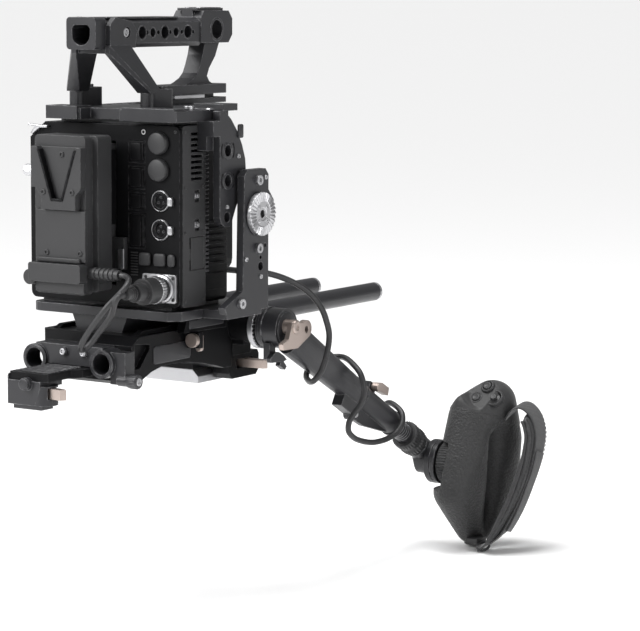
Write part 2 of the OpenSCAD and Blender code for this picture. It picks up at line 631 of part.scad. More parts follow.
module arm_outer() color(charcoal) on_rig() along_arm() difference() {
  union() {
    // flat tube that narrows towards its end, and the round tube beyond it
    hull() {
      slab_y(15.7, 17) oval(10, 14);
      slab_y(outer_end - 1, outer_end) oval(9.6, 10.4);
    }
    bar_y(0, 0, tube_d / 2, outer_end - 1, middle_end);
    // clamp lug and its eye under the wide part, and a fin under the tube
    box([-4, 103, -19.5], [5, 126, -8]);
    bar_x(126.5, -17.5, 4.5, -4, 5);
    slab_x(-2, 2) polygon([[130, -7], [130, -20.5], [146, -19.5], [182, -10.5], [182, -7]]);
    // ears that hold the tube's lever
    box([-7, 139, 6], [1.7, 149, 16]);
  }
  bar_y(0, 0, slide_r + 0.06, slide_start - 30, middle_end + cut);
  bar_x(tube_pivot[0], tube_pivot[1], pin_r + 0.05, -8, 3);
}
module oval(a, b) polygon([for (t = [0:15:345]) [a * cos(t), b * sin(t)]]);

module arm_lever() color(titanium) on_rig() along_arm() union() {
  bar_x(tube_pivot[0], tube_pivot[1], pin_r, -6, 4);
  bar_x(tube_pivot[0], tube_pivot[1], 3.2, 2, 8);
  slab_x(2, 8)
    polygon([[141.2, 11.4], [141.4, 16], [146, 18], [158, 18.6], [159.5, 12.6], [147, 11], [144, 10]]);
}

module arm_inner() color(black) on_rig() along_arm() bar_y(0, 0, slide_r, slide_start, 246);

collar = [212, 231];
module arm_collar() color(black) on_rig() along_arm() difference() {
  union() {
    bar_y(0, 0, 11.2, collar[0], collar[1]);
    for (a = [0:30:330]) rotate([0, a, 0]) box([-1.4, collar[0] + 2, 10.5], [1.4, collar[1] - 2, 12]);
  }
  bar_y(0, 0, slide_r + 0.06, collar[0] - cut, collar[1] + cut);
}

// ---- Grip ----
joint_y = 367;
joint_z = -118;
disc_in = 97;
module arm_end() color(black) on_rig() difference() {
  union() {
    along_arm() bar_y(0, 0, 10, 233, 248);
    hull() {
      along_arm() bar_y(0, 0, 9.4, 244, 253);
      bar_x(joint_y, joint_z, 11, arm_x - 4, disc_in - 4);
    }
    bar_x(joint_y, joint_z, 18, disc_in - 5, disc_in);
  }
  along_arm() bar_y(0, 0, slide_r, 232, 246);
  bar_x(joint_y, joint_z, 5.05, disc_in - 6, disc_in + cut);
}

grip_in = disc_in + gap;
wheel_in = grip_in + 5;
wheel_out = wheel_in + 10;
axle_r = 5;
module grip_body() color(charcoal) on_rig() union() {
  bar_x(joint_y, joint_z, 18, grip_in, grip_in + 4);
  bar_x(joint_y, joint_z, axle_r, disc_in - 5.5, wheel_out + 4);
  difference() {
    hull() {
      for (q = grip_balls) translate([q[0], q[1], q[2]]) sphere(r = q[3], $fn = 24);
    }
    bar_x(joint_y, joint_z, wheel_d / 2 + 1.2, 80, wheel_out + 0.4);
    for (b = thumb_spots) thumb_frame(b) translate([0, 0, -5]) cylinder(h = 14, r = b[3] + 0.4, $fn = 48);
  }
}
// Balls that the grip's shape is stretched over: x, y, z and radius
grip_balls = [[129, 398, -71, 19], [116, 378, -80, 15], [115, 368, -98, 13], [118, 355, -139, 17],
  [122, 381, -170, 16], [134, 404, -100, 17], [132, 402, -140, 17]];

module grip_wheel() color(charcoal) on_rig() difference() {
  union() {
    bar_x(joint_y, joint_z, wheel_d / 2, wheel_in, wheel_out);
    for (a = [0:12:348]) translate([0, joint_y, joint_z]) rotate([a, 0, 0])
      box([wheel_in + 1, wheel_d / 2 - 0.5, -0.7], [wheel_out - 1, wheel_d / 2 + 0.6, 0.7]);
  }
  bar_x(joint_y, joint_z, axle_r + 0.06, wheel_in - cut, wheel_out + cut);
}

// Controls on the grip's rear shoulder: x, y, z and radius; their axis leans back
thumb_lean = 48;
thumb_spots = [[123, 381, -64.8, 3.7], [130, 387, -55.5, 3.7], [138.6, 383, -64, 5.6]];
module thumb_frame(b) translate([b[0], b[1], b[2]]) rotate([thumb_lean, 0, 0]) children();
module thumb_button(b) color(black) on_rig() thumb_frame(b)
  translate([0, 0, -3]) cylinder(h = 5, r = b[3], $fn = 48);
module thumb_button_1() thumb_button(thumb_spots[0]);
module thumb_button_2() thumb_button(thumb_spots[1]);
module joystick() color(black) on_rig() thumb_frame(thumb_spots[2]) union() {
  translate([0, 0, -2]) cylinder(h = 2, r = 4.6, $fn = 48);
  cylinder(h = 4.6, r = 1.8, $fn = 48);
  translate([0, 0, 3.6]) cylinder(h = 2.4, r = 3, $fn = 48);
}

// Padded strap around the hand: the middle line of the pad, from the top lug to the bottom one
strap_line = [[143, 398, -84], [150, 394, -76], [158, 395, -74], [165, 397, -80], [169, 396, -93],
  [169, 391, -110], [166, 385, -128], [161, 378, -147], [154, 371, -164], [146, 366, -177], [138, 368, -185]];
strap_half = 17;
strap_t = 7;
module hand_strap() color(black) on_rig() {
  n = len(strap_line);
  across = unit([0, 1, 0.2]);
  rings = [for (i = [0:n - 1])
    let (d = heading(strap_line, i), out = unit(cross(across, d)), w = i < 2 || i > n - 3 ? 6 : strap_half)
    [for (c = [[-1, -1], [1, -1], [1, 1], [-1, 1]])
      strap_line[i] + c[0] * w * across + c[1] * strap_t / 2 * (i < 2 || i > n - 3 ? 0.5 : 1) * out]];
  polyhedron(
    points = [for (q = rings) each q],
    faces = concat([[3, 2, 1, 0]],
      [for (i = [0:n - 2], k = [0:3]) each [[i * 4 + k, i * 4 + (k + 1) % 4, (i + 1) * 4 + (k + 1) % 4],
        [i * 4 + k, (i + 1) * 4 + (k + 1) % 4, (i + 1) * 4 + k]]],
      [[for (k = [0:3]) (n - 1) * 4 + k]]),
    convexity = 6);
}

// Cable from the camera's side to the grip, wound round the arm, in three stretches
grip_cable_r = 2.3;
route_a = [[57, 103.5, 60], [58, 109, 60], [61, 116.5, 59.2], [66, 124, 58], [72, 130, 57.5],
  [78, 138, 56], [84, 147, 53], [91, 155, 48.5], [98, 162, 42.5], [103, 168, 35],
  [106, 173, 26.5], [107, 177, 18], [107.5, 180, 8.5], [107.5, 179, -1], [107.5, 175.2, -10.4]];
route_b = [[107.5, 175, -11], [107, 170, -19], [103, 167.5, -25.5], [97, 171, -28], [89, 180, -28.5],
  [79, 193, -28.5], [71, 207, -26], [67, 221, -23.5], [66, 236, -22], [67, 246, -20.5],
  [73, 250.5, -20], [82, 246.5, -20.5],
  [92, 241, -24], [100, 237, -29], [104, 235.5, -36.5], [105, 235, -44.5], [103, 233, -53], [99, 230, -60],
  [96, 228, -66.5], [95, 229, -74], [94, 238.5, -80.5], [93, 250, -84.5], [93, 262, -87.5], [93, 274, -89],
  [94, 288, -88.5], [96, 299, -85], [97, 306.5, -78.5], [94, 311.5, -71.5], [87, 315, -67], [78, 319, -65],
  [70, 325, -68.5], [65, 335, -76], [63, 349, -85.5], [63, 364, -95], [65, 371, -104], [68, 375, -111],
  [72, 374, -117], [73.6, 371.8, -117.6]];
module grip_cable_a() color(black) on_rig() tube(route_a, grip_cable_r, 10);
module grip_cable_b() color(black) on_rig() tube(route_b, grip_cable_r, 10);

camera_casing();
rear_panel();
vent_panel();
battery_adapter();
v_mount_plate();
terminal_caps();
xlr_sockets();
dc_plug();
power_cable();
strain_relief();
lens_mount();
sensor_module();
main_board();
cooling_fan();
usb_door();
headphone_door();
mic_door();
hdmi_door();
network_cover();
audio_switch_1();
audio_switch_2();
release_knob();
cage_top_plate();
cage_side_plate();
rosette_plate();
rosettes();
cage_bolts();
camera_tray();
riser_plate();
baseplate_body();
rear_rod_clamp();
rods();
front_rod_clamp();
dovetail_plate();
tail_bar();
tail_clamp();
tail_lever();
front_clamp();
front_lever();
base_lever();
handle_bar();
handle_rear_leg();
handle_front_leg();
handle_lever();
hub_disc();
hub_lever();
ratchet_lever();
arm_outer();
arm_lever();
arm_inner();
arm_collar();
arm_end();
grip_body();
grip_wheel();
thumb_button_1();
thumb_button_2();
joystick();
hand_strap();
grip_cable_a();
grip_cable_b();
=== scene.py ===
"""Looks of a cinema camera rig: a caged camera with a top handle, a rod baseplate and a grip on a folding arm."""
import json
from math import cos, pi, radians, sin

import bmesh
import bpy
import numpy as np
from mathutils import Matrix, Vector


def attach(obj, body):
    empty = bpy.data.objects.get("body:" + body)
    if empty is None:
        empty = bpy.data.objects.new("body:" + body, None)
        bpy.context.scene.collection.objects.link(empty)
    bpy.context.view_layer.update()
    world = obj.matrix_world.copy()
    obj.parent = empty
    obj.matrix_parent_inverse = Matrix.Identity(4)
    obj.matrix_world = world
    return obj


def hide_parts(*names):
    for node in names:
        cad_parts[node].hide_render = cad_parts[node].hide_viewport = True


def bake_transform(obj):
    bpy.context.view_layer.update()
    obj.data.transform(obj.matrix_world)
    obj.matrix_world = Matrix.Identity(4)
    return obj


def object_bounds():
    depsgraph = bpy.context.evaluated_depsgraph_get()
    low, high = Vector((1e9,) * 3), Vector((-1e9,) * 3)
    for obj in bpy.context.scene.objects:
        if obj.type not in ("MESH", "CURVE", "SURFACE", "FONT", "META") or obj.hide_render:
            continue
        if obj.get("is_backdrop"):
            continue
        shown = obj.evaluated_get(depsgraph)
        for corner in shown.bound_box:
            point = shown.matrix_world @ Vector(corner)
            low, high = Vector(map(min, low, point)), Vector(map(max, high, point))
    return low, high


bl_info = {
    "name": "Cinema camera rig",
    "version": (1, 0, 0),
    "blender": (4, 5, 0),
    "location": "3D View > Sidebar > Camera rig",
    "description": "Adds the soft parts, cables, screws and finishes of a cinema camera rig around its frame",
    "category": "Object",
}

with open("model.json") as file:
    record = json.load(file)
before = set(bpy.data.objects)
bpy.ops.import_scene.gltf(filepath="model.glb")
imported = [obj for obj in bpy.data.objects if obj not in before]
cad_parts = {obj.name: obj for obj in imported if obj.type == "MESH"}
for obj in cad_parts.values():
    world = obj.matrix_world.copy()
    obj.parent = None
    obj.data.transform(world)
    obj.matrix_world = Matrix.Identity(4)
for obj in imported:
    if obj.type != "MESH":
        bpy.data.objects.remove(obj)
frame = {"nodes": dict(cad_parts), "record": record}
cad_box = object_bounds()
NODES = frame["nodes"]
MM = 0.001
# The rig's working datum is the middle of the rear rod clamp; the frame's origin is under the tripod plate.
DATUM = np.array([0.0, -160.0, 30.0])
X, Y, Z = np.eye(3)

# Routes in millimetres from the datum. The grip cable runs on past its solid into its plug.
POWER_ROUTE = [
    (44, 4, 64), (49, 4, 63.8), (54, 1, 61.5), (56, -6, 57), (54, -13, 51), (49, -18, 44), (43, -20, 36),
    (37, -21, 28), (31, -21, 20), (27, -19, 14.5), (24, -14.5, 11.5), (24.5, -9.5, 12.5), (28, -7, 17),
    (33, -7, 23), (39, -7.5, 29), (45, -9, 35.5), (50, -12, 41.5), (54, -15.5, 46.5), (56, -15, 50.5),
    (56, -11, 52), (56, -6, 52),
]
GRIP_ROUTE_A = [
    (57, 103.5, 60), (58, 109, 60), (61, 116.5, 59.2), (66, 124, 58), (72, 130, 57.5), (78, 138, 56), (84, 147, 53),
    (91, 155, 48.5), (98, 162, 42.5), (103, 168, 35), (106, 173, 26.5), (107, 177, 18), (107.5, 180, 8.5),
    (107.5, 179, -1), (107.5, 175, -11),
]
GRIP_ROUTE_B = [
    (107.5, 175, -11), (107, 170, -19), (103, 167.5, -25.5), (97, 171, -28), (89, 180, -28.5), (79, 193, -28.5),
    (71, 207, -26), (67, 221, -23.5), (66, 236, -22), (67, 246, -20.5), (73, 250.5, -20), (82, 246.5, -20.5),
    (92, 241, -24), (100, 237, -29), (104, 235.5, -36.5), (105, 235, -44.5), (103, 233, -53), (99, 230, -60),
    (96, 228, -66.5), (95, 229, -74), (94, 238.5, -80.5), (93, 250, -84.5), (93, 262, -87.5), (93, 274, -89),
    (94, 288, -88.5), (96, 299, -85), (97, 306.5, -78.5), (94, 311.5, -71.5), (87, 315, -67), (78, 319, -65),
    (70, 325, -68.5), (65, 335, -76), (63, 349, -85.5), (63, 364, -95), (65, 371, -104), (68, 375, -111),
    (72, 374, -117), (75.5, 370, -118), (78.6, 368, -118),
]
STRAP_LINE = [
    (143, 398, -84), (150, 394, -76), (158, 395, -74), (165, 397, -80), (169, 396, -93), (169, 391, -110),
    (166, 385, -128), (161, 378, -147), (154, 371, -164), (146, 366, -177), (138, 368, -185),
]
# Balls that the grip's skin is stretched over: x, y, z, radius
GRIP_BALLS = np.array([
    (129, 398, -71, 19), (116, 378, -80, 15), (115, 368, -98, 13), (118, 355, -139, 17), (122, 381, -170, 16),
    (134, 404, -100, 17), (132, 402, -140, 17), (115, 374, -70, 7.5),
], float)
JOINT = np.array([97.0, 367.0, -118.0])  # the grip's tilting joint
HUB = np.array([64.0, 150.0, 14.0])
ROSETTE = np.array([93.0, 106.0, 103.0])
ARM = np.array([0, cos(radians(30)), -sin(radians(30))])  # along the arm, away from the hub
ARM_UP = np.array([0, sin(radians(30)), cos(radians(30))])
ARM_START = np.array([83.0, 150.0, 14.0])
THUMB_AXIS = np.array([0, -sin(radians(48)), cos(radians(48))])
THUMB_SPOTS = np.array([(123, 381, -64.8), (130, 387, -55.5), (138.6, 383, -64)])
MATERIALS = {}


# ---- Shapes: each returns points in millimetres and faces ----
def unit(v):
    v = np.asarray(v, float)
    return v / np.linalg.norm(v, axis=-1, keepdims=True)


def ease(t):
    """0 below 0, 1 above 1, and t*t*(3 - 2t) between."""
    t = np.clip(t, 0, 1)
    return t * t * (3 - 2 * t)


def solid(grid, around=False):
    """A grid of rings, (rows, columns, 3), as a closed skin: quads between rings, and a face on each end
    or, with around, quads from the last ring back to the first."""
    rows, cols = grid.shape[:2]
    i = np.arange(rows if around else rows - 1)[:, None]
    j = np.arange(cols)[None, :]
    nxt, right = (i + 1) % rows, (j + 1) % cols
    quads = np.stack([i * cols + j, i * cols + right, nxt * cols + right, nxt * cols + j], -1)
    faces = quads.reshape(-1, 4).tolist()
    if not around:
        faces.append(list(range(cols))[::-1])
        faces.append(list(range((rows - 1) * cols, rows * cols)))
    return grid.reshape(-1, 3), faces


def lathe(origin, axis, profile, n=48, hole=False, ripple=None):
    """A turned solid. Each profile point (along, radius) becomes a circle: origin + along * axis + radius *
    (cos t * a + sin t * b). ripple(t, along, radius) may move the two lengths, for teeth and knurls."""
    axis = unit(axis)
    a = unit(np.cross(axis, Z if abs(axis[2]) < 0.8 else X))
    b = np.cross(axis, a)
    t = np.arange(n) * 2 * pi / n
    along, radius = (np.array(profile, float).T[:, :, None] + 0 * t)
    if ripple:
        along, radius = ripple(t[None, :], along, radius)
    spokes = np.cos(t)[:, None] * a + np.sin(t)[:, None] * b
    return solid(np.asarray(origin, float) + along[..., None] * axis + radius[..., None] * spokes, hole)


def round_rect(low, high, r, n=5):
    """Outline of a rectangle with round corners: four quarter circles in turn."""
    t = np.linspace(0, pi / 2, n)
    corners = [(high[0] - r, high[1] - r), (low[0] + r, high[1] - r), (low[0] + r, low[1] + r), (high[0] - r, low[1] + r)]
    return np.concatenate([
        np.array(c) + r * np.stack([np.cos(t + k * pi / 2), np.sin(t + k * pi / 2)], -1) for k, c in enumerate(corners)])


def disc(centre, r, n=24):
    """Outline of a circle."""
    t = np.arange(n) * 2 * pi / n
    return np.array(centre) + r * np.stack([np.cos(t), np.sin(t)], -1)


def slab(outline, axis, low, high, edge=0.4):
    """An outline run along an axis. At each end it is drawn in along a quarter circle of radius edge:
    inset = edge * (1 - sin t) at a depth of edge * (1 - cos t)."""
    outline = np.asarray(outline, float)
    along = unit(np.roll(outline, -1, 0) - np.roll(outline, 1, 0))
    inward = np.stack([-along[:, 1], along[:, 0]], -1)
    t = np.linspace(0, pi / 2, 4)
    inset = np.concatenate([1 - np.sin(t), (1 - np.sin(t))[::-1]]) * edge
    depth = np.concatenate([low + edge * (1 - np.cos(t)), (high - edge * (1 - np.cos(t)))[::-1]])
    flat = outline[None] + inset[:, None, None] * inward[None]
    grid = np.empty(flat.shape[:2] + (3,))
    grid[..., [k for k in range(3) if k != axis]] = flat
    grid[..., axis] = depth[:, None]
    return solid(grid)


def smooth_line(points, steps=6):
    """Catmull-Rom curve through the points: each stretch is a cubic whose ends head along the neighbours' chord."""
    p = np.asarray(points, float)
    p = np.concatenate([[2 * p[0] - p[1]], p, [2 * p[-1] - p[-2]]])
    t = np.linspace(0, 1, steps, endpoint=False)[:, None]
    a, b, c, d = p[:-3, None], p[1:-2, None], p[2:-1, None], p[3:, None]
    curve = 0.5 * (2 * b + (c - a) * t + (2 * a - 5 * b + 4 * c - d) * t**2 + (3 * b - a - 3 * c + d) * t**3)
    return np.concatenate([curve.reshape(-1, 3), p[-2:-1]])


def carried_frames(line):
    """Heading, side and up vectors along a line, carried from point to point without twist."""
    heading = unit(np.gradient(line, axis=0))
    side = [unit(np.cross(heading[0], Z if abs(heading[0][2]) < 0.8 else X))]
    for d in heading[1:]:
        side.append(unit(side[-1] - d * (d @ side[-1])))
    side = np.array(side)
    return heading, side, np.cross(heading, side)


def tube(line, radius, n=14, ends=0.8):
    """A round tube along a line: at each point a circle across the heading; the first and last circles are smaller."""
    heading, side, up = carried_frames(line)
    t = np.arange(n) * 2 * pi / n
    r = np.full(len(line), float(radius))
    r[[0, -1]] *= ends
    ring = np.cos(t)[None, :, None] * side[:, None] + np.sin(t)[None, :, None] * up[:, None]
    return solid(line[:, None] + r[:, None, None] * ring)


def band(line, across, half_width, half_thick, square=0.5, n=28):
    """A flat strap along a line. Its section is a rounded box: width * cos t to the power square across,
    thickness * sin t to the same power outwards. half_width and half_thick may change along the line."""
    heading = unit(np.gradient(line, axis=0))
    across = unit(across - heading * (heading @ across)[:, None])
    out = np.cross(across, heading)
    t = np.arange(n) * 2 * pi / n
    c, s = np.cos(t), np.sin(t)
    w = np.sign(c) * np.abs(c) ** square
    h = np.sign(s) * np.abs(s) ** square
    half_width = np.broadcast_to(half_width, len(line))
    half_thick = np.broadcast_to(half_thick, len(line))
    grid = (line[:, None] + (half_width[:, None] * w)[..., None] * across[:, None]
            + (half_thick[:, None] * h)[..., None] * out[:, None])
    return solid(grid)


def hex_screw(spot, axis, r, height=2.4, socket=0.5, sides=6):
    """A cap screw: turned head with a rounded rim, and a socket whose wall follows a polygon's flats,
    radius = flat / cos(angle from the nearest flat)."""
    flat = r * socket
    def shape(t, along, radius):
        turn = (t + pi / sides) % (2 * pi / sides) - pi / sides
        wall = np.abs(radius - flat) < 1e-6
        return along, np.where(wall, flat / np.cos(turn), radius)
    profile = [(-0.4, 0.05), (-0.4, r), (height * 0.75, r), (height * 0.93, r * 0.96), (height, r * 0.86), (height, flat * 1.25),
               (height * 0.93, flat), (height * 0.3, flat), (height * 0.25, 0.05)]
    return lathe(spot, axis, profile, 36, ripple=shape)


def star_screw(spot, axis, r, height=0.9):
    """A low button screw with a six-lobed recess: its wall's radius goes as 1 + 0.16 cos 6t."""
    lobe = r * 0.45
    def shape(t, along, radius):
        wall = np.abs(radius - lobe) < 1e-6
        return along, np.where(wall, radius * (1 + 0.16 * np.cos(6 * t)), radius)
    profile = [(-0.3, 0.05), (-0.3, r), (height * 0.4, r), (height * 0.8, r * 0.9), (height, r * 0.7), (height, lobe * 1.25),
               (height * 0.9, lobe), (0.1, lobe), (0.05, 0.05)]
    return lathe(spot, axis, profile, 36, ripple=shape)


def teeth(count, size, inner=0.0):
    """Ripple for straight knurls: the outer radius goes up and down by size, count times round."""
    return lambda t, along, radius: (along, radius + np.where(radius > inner, size * np.cos(count * t), 0))


# ---- Making objects ----
def rig(points):
    """Millimetres from the datum to metres in the frame."""
    return (np.asarray(points, float) + DATUM) * MM


def mesh_object(name, shapes, material, sharp=35):
    points, faces, start = [], [], 0
    for p, f in shapes:
        points.append(p)
        faces += [[i + start for i in face] for face in f]
        start += len(p)
    mesh = bpy.data.meshes.new(name)
    mesh.from_pydata(rig(np.concatenate(points)).tolist(), [], faces)
    bm = bmesh.new()
    bm.from_mesh(mesh)
    bmesh.ops.recalc_face_normals(bm, faces=bm.faces)
    bm.to_mesh(mesh)
    bm.free()
    mesh.shade_smooth()
    mesh.set_sharp_from_angle(angle=radians(sharp))
    mesh.materials.append(MATERIALS[material])
    obj = bpy.data.objects.new(name, mesh)
    bpy.context.scene.collection.objects.link(obj)
    return obj


def piece(name, shapes, material, body="root", sharp=35):
    """A finished piece that rides on a body."""
    obj = mesh_object(name, shapes, material, sharp)
    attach(obj, body)
    return obj


# ---- Shader groups ----
class Tree:
    """Adds nodes to a tree and links them by name."""

    def __init__(self, tree):
        self.tree = tree

    def add(self, kind, **inputs):
        node = self.tree.nodes.new(kind)
        for name, value in inputs.items():
            self.put(node, name.replace("_", " "), value)
        return node

    def put(self, node, name, value):
        socket = node.inputs[int(name)] if name.isdigit() else node.inputs[name]
        if isinstance(value, bpy.types.NodeSocket):
            self.tree.links.new(value, socket)
        else:
            socket.default_value = value

    def maths(self, operation, a, b=0.0, clamp=False):
        node = self.tree.nodes.new("ShaderNodeMath")
        node.operation = operation
        node.use_clamp = clamp
        self.put(node, "0", a)
        self.put(node, "1", b)
        return node.outputs[0]

    def mix(self, factor, a, b, blend="MIX"):
        node = self.tree.nodes.new("ShaderNodeMixRGB")
        node.blend_type = blend
        self.put(node, "Fac", factor)
        self.put(node, "Color1", a)
        self.put(node, "Color2", b)
        return node.outputs[0]

    def spread(self, value, low, high):
        node = self.add("ShaderNodeMapRange", Value=value)
        node.inputs["From Min"].default_value = low
        node.inputs["From Max"].default_value = high
        return node.outputs[0]

    def noise(self, coords, scale, detail=3.0, rough=0.5):
        return self.add("ShaderNodeTexNoise", Vector=coords, Scale=scale, Detail=detail, Roughness=rough).outputs[0]


def new_group(name, inputs, outputs):
    group = bpy.data.node_groups.new(name, "ShaderNodeTree")
    for label, kind, value in inputs:
        socket = group.interface.new_socket(name=label, in_out="INPUT", socket_type="NodeSocket" + kind)
        socket.default_value = value
    for label, kind in outputs:
        group.interface.new_socket(name=label, in_out="OUTPUT", socket_type="NodeSocket" + kind)
    return group, Tree(group), group.nodes.new("NodeGroupInput").outputs, group.nodes.new("NodeGroupOutput")


def machined_group():
    """Hard surfaces: fine grain, soft blotches, rounded edges that catch light, and a lighter colour painted along them
    that is partly edge scuffing and partly a painted highlight.
    Edge mask = 1 - (rounded normal . true normal), broken up by a noise."""
    group, t, given, out = new_group(
        "machined_surface",
        [("Colour", "Color", (0.05, 0.05, 0.05, 1)), ("Edge colour", "Color", (0.3, 0.3, 0.3, 1)),
         ("Roughness", "Float", 0.5), ("Grain scale", "Float", 2500.0), ("Grain depth", "Float", 0.00002),
         ("Wear", "Float", 0.5), ("Unevenness", "Float", 0.3)],
        [("Colour", "Color"), ("Roughness", "Float"), ("Normal", "Vector")])
    coords = t.add("ShaderNodeTexCoord").outputs["Object"]
    grain = t.noise(coords, given["Grain scale"], 2.0)
    blotch = t.spread(t.noise(coords, 22.0, 4.0), 0.3, 0.7)
    # Noise patches that break up the lighter edge colour, which is partly scuffing and partly painted highlight.
    scuff_and_glint_patches = t.spread(t.noise(coords, 260.0, 5.0, 0.7), 0.42, 0.66)
    bevel = t.add("ShaderNodeBevel", Radius=0.0009)
    bevel.samples = 4
    geometry = t.add("ShaderNodeNewGeometry")
    dot = t.tree.nodes.new("ShaderNodeVectorMath")
    dot.operation = "DOT_PRODUCT"
    t.put(dot, "0", bevel.outputs[0])
    t.put(dot, "1", geometry.outputs["Normal"])
    edge = t.maths("MULTIPLY", t.maths("SUBTRACT", 1.0, dot.outputs["Value"]), 5.0, clamp=True)
    # Painted highlight and scuffing on rounded edges: the edge mask times the patches, mixed towards the lighter edge
    # colour.
    scuff_and_highlight_mask = t.maths("MULTIPLY", t.maths("MULTIPLY", edge, scuff_and_glint_patches), given["Wear"], clamp=True)
    uneven = t.maths("MULTIPLY", blotch, given["Unevenness"])
    lighter = t.mix(1.0, given["Colour"], (1.5, 1.5, 1.52, 1), "MULTIPLY")
    t.put(out, "Colour", t.mix(scuff_and_highlight_mask, t.mix(uneven, given["Colour"], lighter), given["Edge colour"]))
    rough = t.maths("ADD", given["Roughness"], t.maths("MULTIPLY", t.maths("SUBTRACT", uneven, 0.15), 0.35))
    speck = t.maths("MULTIPLY", t.maths("SUBTRACT", grain, 0.5), 0.12)
    t.put(out, "Roughness", t.maths("SUBTRACT", t.maths("ADD", rough, speck), t.maths("MULTIPLY", scuff_and_highlight_mask, 0.12)))
    bump = t.add("ShaderNodeBump", Strength=1.0, Distance=given["Grain depth"], Height=grain, Normal=bevel.outputs[0])
    t.put(out, "Normal", bump.outputs[0])
    return group


def leather_group():
    """Pebbled skin: rounded cells from a Voronoi distance, with fine noise in the valleys."""
    group, t, given, out = new_group(
        "pebbled_skin",
        [("Colour", "Color", (0.03, 0.03, 0.03, 1)), ("Scale", "Float", 900.0), ("Depth", "Float", 0.00012),
         ("Plain area", "Float", 0.0)],
        [("Colour", "Color"), ("Roughness", "Float"), ("Normal", "Vector")])
    coords = t.add("ShaderNodeTexCoord").outputs["Object"]
    wobble = t.add("ShaderNodeTexNoise", Vector=coords, Scale=500.0, Detail=2.0)
    moved = t.tree.nodes.new("ShaderNodeVectorMath")
    moved.operation = "MULTIPLY_ADD"
    t.put(moved, "0", wobble.outputs["Color"])
    moved.inputs[1].default_value = (0.0009,) * 3
    t.put(moved, "2", coords)
    cells = t.add("ShaderNodeTexVoronoi", Vector=moved.outputs[0], Scale=given["Scale"])
    cells.feature = "SMOOTH_F1"
    pebble = t.maths("SUBTRACT", 1.0, cells.outputs["Distance"])
    fine = t.noise(coords, 4000.0, 2.0)
    height = t.maths("ADD", pebble, t.maths("MULTIPLY", fine, 0.25))
    height = t.maths("MULTIPLY", height, t.maths("SUBTRACT", 1.0, t.maths("MULTIPLY", given["Plain area"], 0.88)))
    rubbed = t.spread(t.noise(coords, 30.0, 4.0), 0.35, 0.7)
    tip = t.maths("MULTIPLY", t.spread(pebble, 0.35, 0.8), t.maths("ADD", 0.15, t.maths("MULTIPLY", rubbed, 0.35)))
    light = t.mix(1.0, given["Colour"], (2.2, 2.2, 2.25, 1), "MULTIPLY")
    t.put(out, "Colour", t.mix(tip, given["Colour"], light))
    t.put(out, "Roughness", t.maths("SUBTRACT", 0.62, t.maths("MULTIPLY", tip, 0.25)))
    bump = t.add("ShaderNodeBump", Strength=1.0, Distance=given["Depth"], Height=height)
    t.put(out, "Normal", bump.outputs[0])
    return group


def weave_group():
    """Woven cloth: two sets of ribs across each other, height = rib * rib, with thread-to-thread variation."""
    group, t, given, out = new_group(
        "woven_cloth",
        [("Colour", "Color", (0.03, 0.03, 0.03, 1)), ("Threads", "Float", 320.0), ("Depth", "Float", 0.00012)],
        [("Colour", "Color"), ("Roughness", "Float"), ("Normal", "Vector")])
    coords = t.add("ShaderNodeTexCoord").outputs["Object"]
    ribs = []
    for direction in ("Y", "Z"):
        wave = t.add("ShaderNodeTexWave", Vector=coords, Scale=given["Threads"], Distortion=0.6, Detail=1.0)
        wave.inputs["Detail Scale"].default_value = 2.0
        wave.bands_direction = direction
        ribs.append(wave.outputs["Fac"])
    height = t.maths("ADD", t.maths("MULTIPLY", ribs[0], ribs[1]), t.maths("MULTIPLY", t.noise(coords, 2600.0), 0.3))
    fuzz = t.spread(t.noise(coords, 90.0, 5.0), 0.3, 0.75)
    light = t.mix(1.0, given["Colour"], (2.4, 2.4, 2.45, 1), "MULTIPLY")
    t.put(out, "Colour", t.mix(t.maths("MULTIPLY", t.maths("MULTIPLY", height, fuzz), 0.9), given["Colour"], light))
    t.put(out, "Roughness", t.maths("SUBTRACT", 0.92, t.maths("MULTIPLY", height, 0.12)))
    bump = t.add("ShaderNodeBump", Strength=1.0, Distance=given["Depth"], Height=height)
    t.put(out, "Normal", bump.outputs[0])
    return group


def finish(name, group, values, metallic=0.0, coat=0.0, sheen=0.0, specular=0.5):
    """A material: one shader group into a Principled shader whose plain numbers stand on its own sockets."""
    material = bpy.data.materials.new(name)
    material.use_nodes = True
    t = Tree(material.node_tree)
    shader = material.node_tree.nodes["Principled BSDF"]
    detail = material.node_tree.nodes.new("ShaderNodeGroup")
    detail.node_tree = group
    for label, value in values.items():
        t.put(detail, label, value)
    t.put(shader, "Base Color", detail.outputs["Colour"])
    t.put(shader, "Roughness", detail.outputs["Roughness"])
    t.put(shader, "Normal", detail.outputs["Normal"])
    shader.inputs["Metallic"].default_value = metallic
    shader.inputs["Coat Weight"].default_value = coat
    shader.inputs["Sheen Weight"].default_value = sheen
    shader.inputs["Specular IOR Level"].default_value = specular
    MATERIALS[name] = material
    return material


def add_plain_area(material):
    """Reads the grip's own mark for its smooth control pod and takes the pebbles away there."""
    t = Tree(material.node_tree)
    mark = material.node_tree.nodes.new("ShaderNodeAttribute")
    mark.attribute_name = "plain_area"
    group = next(n for n in material.node_tree.nodes if n.type == "GROUP")
    t.put(group, "Plain area", mark.outputs["Fac"])


# ---- Sizes and colours that a user would change ----
class RigSizes(bpy.types.PropertyGroup):
    """Sizes of the pieces that are added round the frame."""

    cable_d: bpy.props.FloatProperty(name="Power cable", description="Diameter of the power cable, mm", default=4.2)
    grip_cable_d: bpy.props.FloatProperty(name="Grip cable", description="Diameter of the grip's cable, mm", default=4.6)
    pad_thick: bpy.props.FloatProperty(name="Strap pad", description="Thickness of the strap's pad, mm", default=8.0)
    pad_width: bpy.props.FloatProperty(name="Pad width", description="Half the strap pad's width, mm", default=17.0)
    screw_r: bpy.props.FloatProperty(name="Screw head", description="Radius of a small screw's head, mm", default=2.2)


